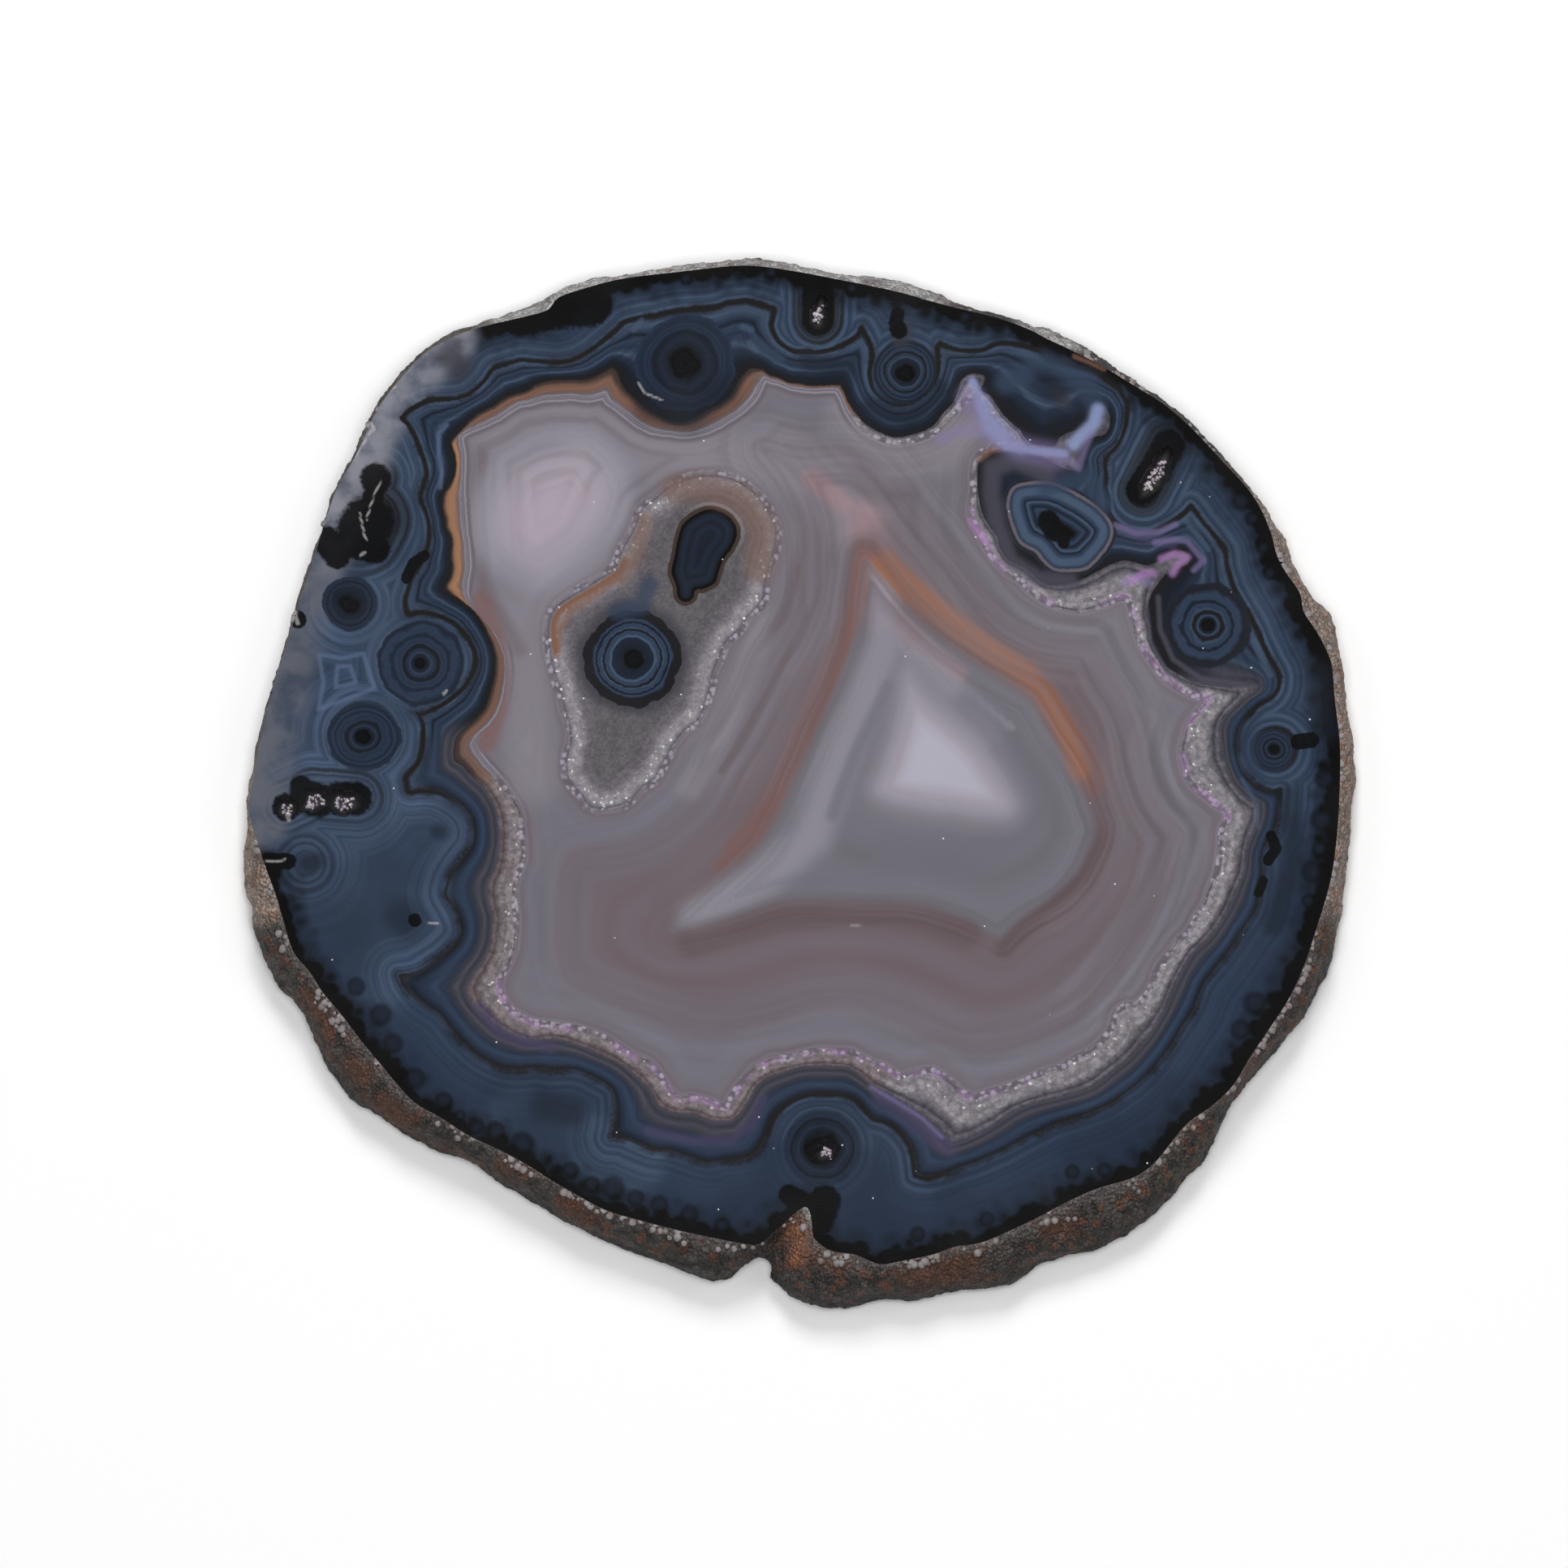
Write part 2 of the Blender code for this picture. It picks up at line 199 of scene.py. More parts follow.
KIDNEY = trace("""
    840,648 853,635 872,627 891,631 904,643 907,659 901,675 891,688 885,704 880,717 867,724 856,726
    853,736 845,741 836,736 834,722 828,704 831,685 835,664
""")

HALO = trace("""
    1250,602 1268,596 1288,595 1308,600 1328,610 1344,620 1360,634 1369,648 1368,662 1362,674
    1350,688 1338,698 1320,701 1300,699 1288,689 1278,677 1262,669 1254,658 1248,640 1244,620
""")

LOBE = trace("""
    679,543 721,539 758,576 767,617 739,667 684,713 647,713 601,677 592,631 620,571
""")

# The eyes: centre, half width, height as a share of it, angle, the radii at which the rings
# change (black heart, dark pool, pale ring, blue, dark ring, blue, dark ring, blue, dark ring),
# and how bright the rings are.
EYES = (
    ((779, 811), 58, 1.0, 0, (12, 25, 29, 35, 36, 44, 45, 48, 58), 0.95),
    ((844, 445), 60, 0.97, 0, (20, 27, 30, 38, 40, 45, 47, 51, 60), 0.0),
    ((1116, 456), 37, 1.0, 0, (12, 17, 20, 24, 26, 31, 33, 35, 37), 0.5),
    ((1489, 770), 52, 1.0, 0, (9, 11, 13, 14, 19, 29, 31, 44, 52), 0.7),
    ((1570, 923), 23, 1.0, 0, (7, 9, 10, 11, 14, 17, 20, 22, 23), 0.3),
    ((448, 908), 44, 0.87, 0, (11, 14, 16, 19, 22, 34, 36, 41, 43), 0.25),
    ((518, 817), 52, 0.97, 0, (8, 11, 15, 19, 24, 33, 36, 50, 52), 0.35),
    ((430, 743), 32, 0.97, 0, (12, 22, 25, 28, 29, 30, 31, 31.5, 32), 0.1),
    ((1013, 1413), 44, 0.96, 0, (22, 27, 29, 37, 39, 42, 43, 43.5, 44), 0.1),
)

# What the outer bands wrap round besides the dark line: half widths and paths.
NESTS = (
    (50, "518,817 519,817"),
    (44, "448,906 449,906"),
    (32, "430,743 431,743"),
    (33, "352,994 385,978 440,982"),
    (54, "442,655 450,640"),
    (26, "462,588 463,588"),
    (37, "1116,456 1117,456"),
    (27, "1570,923 1571,923"),
    (44, "1013,1413 1014,1413"),
    (30, "1008,350 1008,390"),
    (30, "1440,545 1410,605"),
    (34, "376,1062 377,1064"),
)

# Small round bubbles in the black border: centre and radius.
BUBBLES = (
    (512, 1328, 13), (548, 1356, 11), (568, 1373, 7), (588, 1387, 10), (612, 1392, 11),
    (645, 1408, 14), (704, 1440, 10), (730, 1458, 10), (756, 1462, 14), (784, 1474, 10),
    (813, 1482, 11), (850, 1494, 11), (890, 1508, 10), (1532, 616, 12), (1545, 638, 9),
    (1558, 674, 9), (1566, 705, 9), (1634, 960, 13), (1630, 1010, 15), (1626, 1046, 10),
    (1617, 1074, 14), (1612, 1110, 9), (1545, 1236, 14), (1527, 1268, 12), (1360, 1440, 9),
    (1320, 1442, 9), (1215, 1500, 9), (1130, 1518, 9), (470, 1250, 13), (485, 1285, 12),
    (440, 1215, 11), (845, 340, 8), (950, 332, 9), (1050, 352, 8), (1190, 388, 9),
)

# Marks: for each, how strong it is, how soft its edge is, and the half width and the path of
# every stroke.
INNER_MARKS = {
    "lifted": (0.85, 0.5, (
        (75, "620,545 700,525 800,560 900,565 960,560"), (70, "950,560 1020,590 1050,640"),
        (45, "1040,510 1100,565 1160,560 1185,530"), (60, "645,790 650,880 655,960"),
        (70, "620,600 640,700 650,760 720,700"), (30, "940,760 915,850 880,930 850,970"),
    )),
    "flesh": (0.9, 0.5, (
        (46, "1068,640 1074,690 1082,750"), (26, "1000,590 1040,620"), (22, "1100,760 1140,800 1180,830"),
    )),
    "milk": (0.75, 0.5, (
        (36, "1080,718 1088,772"),
        (48, "1092,790 1062,870 1022,960 1000,1030"), (46, "1000,1030 940,1082 860,1128"),
        (40, "1130,810 1180,860 1215,900"), (9, "1104,790 1160,832 1205,864 1245,896"),
        (8, "1100,800 1078,846 1060,885 1038,935 1015,990"),
    )),
    "slate": (0.7, 0.5, (
        (15, "1094,845 1075,885 1055,925 1037,970 1025,1005"),
        (34, "1190,868 1225,900 1255,945 1268,1000"), (44, "1262,1000 1200,1060 1100,1050"),
        (20, "640,1060 665,1100 660,1180"),
    )),
    "umber": (0.85, 0.5, (
        (34, "850,1160 900,1145 960,1128 1030,1124 1090,1124 1140,1131 1190,1150"),
        (24, "1300,885 1330,935 1350,975 1360,1005 1356,1040 1338,1080 1300,1115"),
        (22, "1300,1115 1262,1145 1236,1170"), (10, "985,700 990,760 972,800 950,850 920,900 890,950"),
    )),
    "rosewood": (0.6, 0.5, (
        (20, "590,560 584,620 586,690 606,745 640,800"), (16, "640,490 700,482 770,495"),
        (40, "960,640 975,700 965,770"), (30, "900,1055 860,1084 815,1106"),
        (50, "1085,670 1150,728 1215,775 1275,812 1322,855 1352,925 1366,1000"),
        (44, "1055,690 1045,760 1015,830 980,905 948,975 918,1015"), (22, "600,960 622,985 640,1018"),
    )),
    "ember": (0.85, 0.5, (
        (24, "1061,672 1058,730 1046,770 1032,802 1018,838 1002,872 986,908 970,945 952,985"),
        (26, "952,985 930,1022 905,1048"), (14, "905,1048 885,1067"),
        (22, "592,738 610,785 617,830 614,872 600,915"), (22, "1072,672 1095,698 1122,724 1150,748"),
        (32, "1265,835 1290,862 1310,890 1332,925 1348,965"),
    )),
    "amber": (0.88, 0.5, (
        (29, "1090,692 1122,724 1150,748 1179,772 1210,796 1240,815 1265,833"),
        (24, "1265,833 1284,852 1300,880 1318,915 1330,950"),
    )),
}
MARKS = {
    "tan": (0.7, 0.5, (
        (34, "830,600 870,600 915,615 940,650 935,700"), (20, "795,640 780,690 765,710"),
    )),
    "russet": (0.6, 0.5, (
        (8, "1208,564 1222,553 1245,549 1262,553"), (5, "1325,437 1345,445 1362,453"),
        (9, "686,800 690,775 704,752 735,732 760,712"),
    )),
    "blue": (0.75, 0.5, (
        (22, "760,752 790,745 800,720"), (22, "1290,600 1340,585 1362,620"),
        (26, "1240,470 1290,445 1340,470 1352,500"), (14, "930,420 960,440"),
    )),
    "plum": (0.75, 0.5, (
        (22, "1228,640 1222,606 1224,576 1250,566 1290,582"),
        (18, "1228,640 1246,690 1280,712 1320,716"), (6, "1428,735 1430,775 1446,812 1480,836 1530,842"),
        (5, "1413,745 1418,790 1438,828 1478,852"),
    )),
    "dusk": (0.8, 0.5, (
        (18, "1304,484 1312,492"), (22, "1115,405 1110,415"), (34, "553,438 563,450"),
    )),
    "night": (0.6, 0.5, (
        (34, "705,1370 690,1366 670,1362"), (44, "496,1130 500,1134"), (30, "1289,466 1301,478"),
        (20, "541,1024 543,1025"), (22, "380,1064 392,1060"), (30, "1625,830 1632,900"),
        (26, "1588,980 1594,1060 1568,1140"), (26, "1075,500 1120,515 1160,480"),
        (30, "1000,445 1040,455"), (40, "800,500 850,512 890,480"),
    )),
    "haze": (0.6, 0.4, (
        (7, "914,400 926,404"), (7, "923,420 932,430"), (7, "1546,790 1556,815 1566,832"),
        (7, "1462,640 1475,656 1490,676"), (7, "790,392 780,404"), (5, "1530,960 1548,990 1550,1020"),
    )),
    "mist": (0.6, 0.5, (
        (5, "392,806 420,811 447,805 461,848 392,874 398,840 392,806"),
        (5, "415,821 431,821 438,841 413,847 415,821"), (5, "549,522 540,532 539,560 543,582 541,600"),
    )),
    "violet": (0.6, 0.5, (
        (20, "1085,1352 1120,1376 1150,1402 1170,1414"),
        (12, "800,1392 850,1404 900,1404 925,1385 940,1352"), (14, "590,1240 620,1275 680,1290"),
        (14, "1385,652 1420,664 1445,668"),
    )),
    "sky": (0.75, 0.5, (
        (10, "1199,468 1207,486"), (17, "1210,494 1217,514"), (22, "1222,522 1236,538"),
        (14, "1240,545 1260,551"), (10, "1240,549 1275,554 1312,558"), (15, "1354,503 1349,520 1337,532 1324,546"),
    )),
    "lilac": (0.42, 0.5, (
        (30, "1196,488 1222,530 1260,552 1305,562"),
        (14, "1160,540 1185,528 1212,532"), (8, "1262,549 1290,556 1314,560 1330,576 1336,556 1346,532"),
        (7, "1376,646 1400,656 1430,654 1450,645"), (7, "1424,668 1448,664 1464,666 1484,690 1472,702"),
        (12, "1386,718 1402,712 1415,716"), (5, "1072,1338 1105,1357 1135,1376 1160,1400"),
    )),
    "rose": (0.52, 0.5, (
        (9, "1432,688 1448,682 1464,686 1452,695 1446,706"), (9, "1394,716 1410,706 1422,706"),
        (7, "1196,640 1206,656 1216,668"),
    )),
    "soot": (0.97, 0.1, (
        (66, "452,642 446,652"), (36, "428,668 462,676"), (34, "400,664 414,684"),
        (38, "461,588 462,590"), (26, "462,598 454,626"), (56, "640,384 690,374 726,372"),
        (40, "1016,1478 1008,1500"), (26, "972,1470 984,1476"),
        (16, "511,1133 512,1134"), (17, "1107,384 1104,396"), (22, "1107,402 1108,404"),
        (40, "1008,345 1008,392"), (40, "1442,548 1428,575 1408,602"), (34, "352,994 353,995"),
        (44, "378,982 392,986"), (42, "418,984 438,984"), (26, "370,968 372,969"),
        (22, "363,762 366,763"), (26, "1292,640 1300,654"), (15, "1311,668 1312,660"),
        (20, "330,1061 356,1061"), (20, "1600,914 1616,912"), (14, "500,712 508,694 522,684"),
        (14, "1566,1030 1572,1045 1562,1060"), (12, "1556,1085 1550,1100"),
    )),
    "frost": (0.32, 0.3, (
        (2.6, "468,590 462,604 457,616 450,640"), (2.8, "442,632 448,660 450,664"),
        (4, "443,684 448,680"), (4, "478,478 486,474"), (4, "454,518 460,526 452,534"),
        (4, "436,560 444,548 449,541"), (5, "362,756 366,768"), (3, "528,1136 541,1138"),
        (3, "1050,1141 1065,1142"), (3, "328,1060 340,1062 352,1059"), (3, "785,470 795,483 815,491"),
        (4, "546,855 550,851"), (5, "354,1000 356,1010"),
    )),
}

# Sides of the stone on which a zone takes another form: half widths and paths.
SIDES = {
    "firm_side": (  # the dark line and the pale lines beside it are crisp
        (80, "500,950 560,930 590,820 500,750 520,600 500,500 600,450 760,400 940,370 1060,420"),
        (80, "1060,420 1160,430 1300,430 1390,500 1370,600 1420,650 1470,640 1540,780 1570,850"),
        (60, "1590,860 1600,960"), (50, "960,1370 1010,1350 1100,1390 1130,1440"),
        (60, "340,740 400,850 420,950"),
    ),
    "clear_side": (  # the blue is paler
        (160, "380,720 400,900 430,1080"), (90, "470,1180 520,1080 560,1000"), (60, "640,1380 780,1430"),
    ),
    "tan_side": (  # a tan fringe in place of the crust of crystals
        (95, "590,900 590,800 550,640 565,540 650,480 745,470 830,520 930,470 1000,480"),
    ),
    "amber_side": (
        (26, "557,560 552,600 550,640 558,690 568,730"),
    ),
    "russet_side": (
        (36, "590,745 612,790 612,850 590,890"), (30, "600,505 650,474 735,462"), (26, "770,485 800,512"),
        (24, "885,505 912,474"), (26, "1046,500 1070,530"), (24, "600,960 624,1000"),
        (28, "684,790 690,750 730,722 765,704"),
    ),
    "lined_side": (  # thin bands show in the pale middle
        (150, "1000,640 985,760 940,880"), (190, "1120,600 1250,740 1400,900 1450,1060 1400,1180"),
        (120, "620,520 800,540 960,540"),
    ),
    "warm_side": (  # the crust of crystals is brownish
        (70, "600,930 612,960 645,1060 640,1140 615,1220 680,1275 760,1300 830,1360 890,1375"),
        (60, "890,1375 930,1330 1000,1305 1060,1310"),
    ),
    "dusky_side": (
        (80, "570,950 610,1050 606,1150 580,1220"),
        (110, "560,1240 640,1310 760,1350 860,1420 940,1380 1000,1330 1080,1350 1160,1420"),
        (120, "1160,1420 1300,1370 1420,1290 1500,1180 1550,1060 1550,990 1510,900"),
    ),
    "pink_side": (
        (50, "580,1215 620,1260 700,1285 800,1335 880,1368 920,1325 1000,1300 1060,1305"),
        (50, "1060,1305 1120,1325 1190,1355 1250,1340"),
        (45, "1385,735 1400,790 1440,845 1485,860 1458,920 1470,965 1505,1000"),
        (30, "1200,640 1230,690 1290,740"),
    ),
    "smoke": (
        (62, "540,415 490,460 450,530 425,590"), (66, "400,640 370,720 345,820 325,920 315,1000"),
    ),
    "haze_side": (
        (200, "560,380 440,560"),
    ),
    "wide_border": (
        (70, "1570,560 1600,660 1640,800 1660,950 1650,1100"), (50, "1610,1160 1560,1260 1500,1340"),
    ),
}

# The open vugs: place on the slab's drawing, half length, half width, angle and depth.
VUGS = (
    ((-63.0, -3.4), 1.3, 1.2, 0, 1.1),
    ((-59.6, -2.3), 1.8, 1.5, 20, 1.5),
    ((-55.8, -2.6), 2.1, 1.6, 0, 1.5),
    ((3.4, -45.5), 1.3, 1.2, 0, 1.4),
    ((44.3, 37.8), 3.6, 1.3, 60, 1.6),
    ((2.6, 57.8), 2.2, 1.0, 80, 1.3),
)

# How the meshes are made, in millimetres.
WELD_GAP = 0.001
INSET_REACH = 6  # how many vertices away an inset looks for the loop's direction
WALL_INSET = 0.8
SKIN_INSET = 1.6
WALL_DROP = 0.8
EDGE_HOLD = 0.7  # the skin isn't moved at its two edges, and is fully free this far from them
LUMP_PITCH = 2.6
WART_PITCH = 1.1
GRIT_PITCH = 0.45
CLUMP_PITCH = 4.0
GRAIN_HEIGHT = 7.1
GRAIN_FADE = 0.5
BAND_MARGIN = 2.0
VUG_STEP = 0.17
VUG_GRID_REACH = 1.3
CRYSTAL_REACH = 0.62

BORDER_WIDTH = 1.3  # the black border along the skin
WIDER_BORDER = 0.4  # what it gains on the right
BEAD_SIZE = 0.75
BAND_CHANGE = 0.035  # how quickly the thin bands change along their way, per millimetre

FACE_LINES = (
    "dark_line",
    "blue_edge",
    "druse_edge",
    "mauve_edge",
    "grey_edge",
    "core_edge",
    "lobe",
    "nest",
    "island",
    "kidney",
    "halo",
)

# Runs of colours across each zone. The first number is in millimetres from the line where the
# comment says so, and otherwise a share of the way to the next line.
OUTER_STOPS = (  # millimetres outward from the dark line or an eye
    (0.0, "line"), (0.06, "line"), (0.30, "blue"), (0.55, "haze"), (0.85, "deep"), (1.2, "blue"),
    (1.5, "haze"), (1.75, "blue"), (2.05, "deep"), (2.4, "blue"), (2.7, "deep"), (3.0, "blue"),
    (3.4, "deep"), (3.9, "blue"), (4.6, "deep"), (6.0, "deep"),
)
BLUE_STOPS = (
    (0.0, "line"), (0.03, "line"), (0.10, "haze"), (0.22, "blue"), (0.29, "night"),
    (0.36, "blue"), (0.46, "deep"), (0.52, "blue"), (0.58, "haze"), (0.64, "deep"),
    (0.80, "night"), (0.93, "line"), (1.0, "line"),
)
DUSKY_STOPS = (
    (0.0, "dusk"), (0.10, "night"), (0.24, "deep"), (0.40, "blue"), (0.52, "deep"),
    (0.64, "dusk"), (0.76, "plum"), (0.86, "dusk"), (1.0, "plum"),
)
TAN_STOPS = (
    (0.0, "line"), (0.10, "bark"), (0.22, "bark"), (0.42, "tan"), (0.60, "tan"),
    (0.78, "rosewood"), (0.90, "bubble"), (1.0, "shadow"),
)
DRUSE_STOPS = (
    (0.0, "plum"), (0.12, "druse_dark"), (0.20, "plum"), (0.30, "druse_dark"), (0.43, "druse"),
    (0.88, "druse"), (0.94, "shadow"), (1.0, "bubble"),
)
PALE_STOPS = (  # millimetres inward from the druse
    (0.0, "mauve"), (0.8, "mauve"), (1.6, "lavender"), (3.4, "fog"), (4.4, "lavender"),
    (6.0, "lavender"),
)
RIM_STOPS = (
    (0.0, "bubble"), (0.16, "shadow"), (0.38, "bubble"), (0.6, "mauve"), (0.8, "shadow"),
    (1.0, "mauve"), (1.2, "mauve"),
)
LOBE_STOPS = (  # millimetres, counted from 3 mm outside the lobe
    (0.0, "lifted"), (1.5, "bubble"), (3.2, "milk"), (5.0, "pale_rose"), (9.0, "blush"),
    (10.0, "blush"),
)
MAUVE_STOPS = (
    (0.0, "mauve"), (0.25, "mauve"), (0.45, "rosewood"), (0.60, "mauve"), (0.80, "rosewood"),
    (1.0, "rosewood"),
)
GREY_STOPS = (
    (0.0, "ash"), (0.22, "fog"), (0.45, "ash"), (0.65, "fog"), (1.0, "fog"),
)
CORE_STOPS = (  # millimetres, counted from 4 mm outside the core
    (0.0, "lavender"), (2.5, "lifted"), (4.0, "milk"), (5.5, "pale_rose"), (7.0, "white"),
    (9.5, "white"),
)
ISLAND_STOPS = (  # millimetres into the island
    (0.0, "bubble"), (0.22, "shadow"), (0.45, "bubble"), (0.8, "druse"), (1.4, "druse"),
    (2.4, "druse_dark"), (3.6, "gravel"), (6.5, "gravel"),
)
KIDNEY_STOPS = (  # millimetres into the kidney
    (0.0, "soot"), (0.25, "soot"), (0.5, "night"), (1.1, "pool"), (1.5, "night"), (2.2, "pool"),
    (2.8, "night"), (4.0, "pool"),
)
HALO_STOPS = (  # millimetres, counted from 1 mm outside the halo
    (0.0, "dusk"), (0.55, "night"), (0.75, "shadow"), (0.95, "shadow"), (1.15, "deep"),
    (1.6, "haze"), (2.2, "haze"), (2.5, "blue"), (2.75, "deep"), (3.0, "night"), (3.2, "haze"),
    (3.5, "deep"), (3.8, "night"), (4.2, "blue"), (4.6, "pool"), (5.0, "soot"),
)
EYE_STOPS = (  # rings: 1 is the black heart's edge, 9 the last ring
    (0.0, "soot"), (0.9, "soot"), (1.1, "night"), (2.15, "pool"), (2.4, "haze"), (2.9, "haze"),
    (3.1, "blue"), (3.9, "blue"), (4.1, "line"), (4.9, "line"), (5.15, "haze"), (5.4, "blue"),
    (5.9, "blue"), (6.1, "night"), (6.9, "night"), (7.1, "blue"), (7.8, "blue"), (8.1, "line"),
    (9.3, "line"),
)
DIM_EYE_STOPS = (
    (0.0, "soot"), (0.8, "soot"), (1.3, "night"), (3.0, "pool"), (4.0, "night"), (4.8, "night"),
    (5.4, "pool"), (6.0, "deep"), (6.6, "pool"), (7.4, "deep"), (8.2, "pool"), (9.3, "deep"),
)

# Marks on the skin, and where its edge carries no grains.
SKIN_MARKS = {
    "rust": (
        (22, "380,1225 400,1250"), (20, "432,1305 450,1325"), (24, "470,1355 500,1380"),
        (20, "545,1415 560,1425"), (18, "620,1430 650,1440"), (26, "700,1480 730,1490"),
        (24, "1000,1540 1040,1550"), (34, "1130,1562 1190,1556"), (22, "1290,1510 1320,1505"),
        (28, "1440,1390 1470,1370"), (20, "1520,1320 1540,1300"), (18, "960,1520 990,1510"),
    ),
    # Frost and back light: the skin's own white glassy top edge, partly painted back light where it glows.
    "frosty": (
        (70, "630,383 650,372 700,350 760,335"), (70, "800,325 900,318 1000,322 1090,338"),
        (60, "1110,342 1140,350"), (34, "1270,394 1320,414"), (9, "972,1484 984,1478 998,1490 1000,1506"),
    ),
    # Pale marks: the skin's pinkish sides; on the right they are also painted light on the lit side.
    "pale": (
        (70, "1550,575 1575,620 1605,690 1640,760 1665,860 1668,940"),
        (60, "1668,940 1668,1040 1660,1100"), (60, "296,960 300,1040 315,1100"),
    ),
    "ochre": (
        (20, "974,1500 986,1518 982,1545"),
    ),
    # Painted shade: the notch's dark left wall and the dark upper right edge of the skin.
    "shaded": (
        (20, "925,1540 950,1514 966,1498"), (55, "1200,360 1300,402 1400,455 1480,520 1535,580"),
    ),
}
CLEAN_EDGE = (
    (60, "310,1000 340,820 390,640 470,500 560,410 680,350 800,320"),
)

# The studio.
FLOOR_HALF = 3.0
AIR_STRENGTH = 0.04
LIGHTS = (  # name, which power, place in metres, size in metres
    ("back_light", "key", (0.05, 0.85, 1.15), 0.5),
    ("top_light", "fill", (0.0, -0.3, 1.35), 0.5),
    ("left_light", "side", (-0.75, 0.1, 1.1), 0.6),
    ("right_light", "side", (0.75, 0.1, 1.1), 0.6),
)
SENSOR = 36.0
FRAME_WIDTH = 193.2
LOOK_AT = (-2.0, -1.36, 8.0)
TILT = 0.35

# Lines, distances and masks on the sheet.

LINE_STEP = 3.0  # sheet units from one sample of a smoothed line to the next


def on_sheet(places):
    """Places on the polished face, in millimetres, as places on the photograph's sheet."""
    across = (places[:, 0] + DRAWING_CENTRE[0]) / SHEET_UNIT + SHEET_MIDDLE[0]
    down = SHEET_MIDDLE[1] - (places[:, 1] + DRAWING_CENTRE[1]) * math.cos(LEAN) / SHEET_UNIT
    return np.stack((across, down), axis=1)


def smooth_line(points, closed=True):
    """A smooth line through traced points, as an array of evenly spread samples."""
    count = len(points)
    samples = []
    for i in range(count if closed else count - 1):
        row = []
        for step in (-1, 0, 1, 2):
            place = (i + step) % count if closed else min(max(i + step, 0), count - 1)
            row.append(points[place])
        before = row[1] if row[1][2] else row[0]
        after = row[2] if row[2][2] else row[3]
        a, b, c, d = (np.array(point[:2]) for point in (before, row[1], row[2], after))
        steps = max(1, round(float(np.hypot(*(c - b))) / LINE_STEP))
        for t in np.arange(steps) / steps:
            bend = (2 * a - 5 * b + 4 * c - d) * t**2 + (3 * b - a - 3 * c + d) * t**3
            samples.append(0.5 * (2 * b + (c - a) * t + bend))
    if not closed:
        samples.append(np.array(points[-1][:2]))
    return np.array(samples)


def gap_to_segment(places, start, end):
    """The distance from each place to its own segment, or to one segment for all."""
    along = end - start
    length = np.maximum((along * along).sum(-1), 1e-9)
    share = np.clip(((places - start) * along).sum(-1) / length, 0.0, 1.0)
    return np.hypot(*(places - start - along * share[..., None]).T)


def gap_to_line(places, line):
    """The distance from each place to a closed line, found from its nearest sample."""
    tree = kdtree.KDTree(len(line))
    for i, (x, y) in enumerate(line):
        tree.insert((x, y, 0.0), i)
    tree.balance()
    nearest = np.array([tree.find((x, y, 0.0))[1] for x, y in places])
    count = len(line)
    gaps = [
        gap_to_segment(places, line[(nearest + step) % count], line[(nearest + step + 1) % count])
        for step in (-1, 0)
    ]
    return np.minimum(*gaps)


def is_inside(places, line):
    """Whether each place lies inside a closed line."""
    order = np.argsort(places[:, 1])
    x, y = places[order].T
    crossed = np.zeros(len(places), bool)
    for (x0, y0), (x1, y1) in zip(line, np.roll(line, -1, axis=0)):
        if y0 == y1:
            continue
        level = slice(*np.searchsorted(y, sorted((y0, y1))))
        crossed[level] ^= x[level] < (x1 - x0) * (y[level] - y0) / (y1 - y0) + x0
    inside = np.zeros(len(places), bool)
    inside[order] = crossed
    return inside


def depth_inside(places, line):
    """How far each place is inside a closed line, in millimetres; outside it is negative."""
    gap = gap_to_line(places, line) * SHEET_UNIT
    return np.where(is_inside(places, line), gap, -gap)


def ease(values):
    """Turns 0 to 1 into a soft step."""
    values = np.clip(values, 0.0, 1.0)
    return values * values * (3.0 - 2.0 * values)


def gap_to_path(places, path):
    """The distance from each place to a drawn path."""
    points = np.array([point[:2] for point in trace(path)])
    gaps = [gap_to_segment(places, start, end) for start, end in zip(points, points[1:])]
    return np.min(gaps, axis=0)


def brush(places, strokes):
    """A mask from 0 to 1 that soft strokes leave on the face."""
    mask = np.zeros(len(places))
    for half_width, path in strokes:
        points = np.array([point[:2] for point in trace(path)])
        low = points.min(0) - half_width
        high = points.max(0) + half_width
        near = np.all((places > low) & (places < high), axis=1)
        gap = gap_to_path(places[near], path)
        mask[near] = np.maximum(mask[near], ease(1.0 - gap / half_width))
    return mask


def nest_gap(places):
    """How far each place is, in millimetres, from the nearest nest of the outer bands."""
    gaps = [gap_to_path(places, path) - half_width for half_width, path in NESTS]
    return np.min(gaps, axis=0) * SHEET_UNIT


def bubble_reach(places):
    """How far out each place lies in its nearest bubble: 1 at the bubble's edge."""
    reach = [np.hypot(places[:, 0] - x, places[:, 1] - y) / radius for x, y, radius in BUBBLES]
    return np.minimum(np.min(reach, axis=0), 3.0)


def eye_rings(places):
    """How far out each place lies in its nearest eye, 9 at the last ring, and that eye's glow."""
    rings = np.full(len(places), 12.0)
    glow = np.zeros(len(places))
    for (x, y), wide, squash, angle, radii, brightness in EYES:
        turn = math.radians(angle)
        off = places - np.array((x, y))
        u = off[:, 0] * math.cos(turn) + off[:, 1] * math.sin(turn)
        v = (-off[:, 0] * math.sin(turn) + off[:, 1] * math.cos(turn)) / squash
        reach = np.hypot(u, v)
        ring = np.interp(reach, (0.0, *radii), range(10))
        ring = np.where(reach > wide, 9.0 + (reach - wide) * 0.1, ring)
        glow = np.where(ring < rings, brightness, glow)
        rings = np.minimum(rings, ring)
    return rings, glow


# Meshes of the slab and its skin.


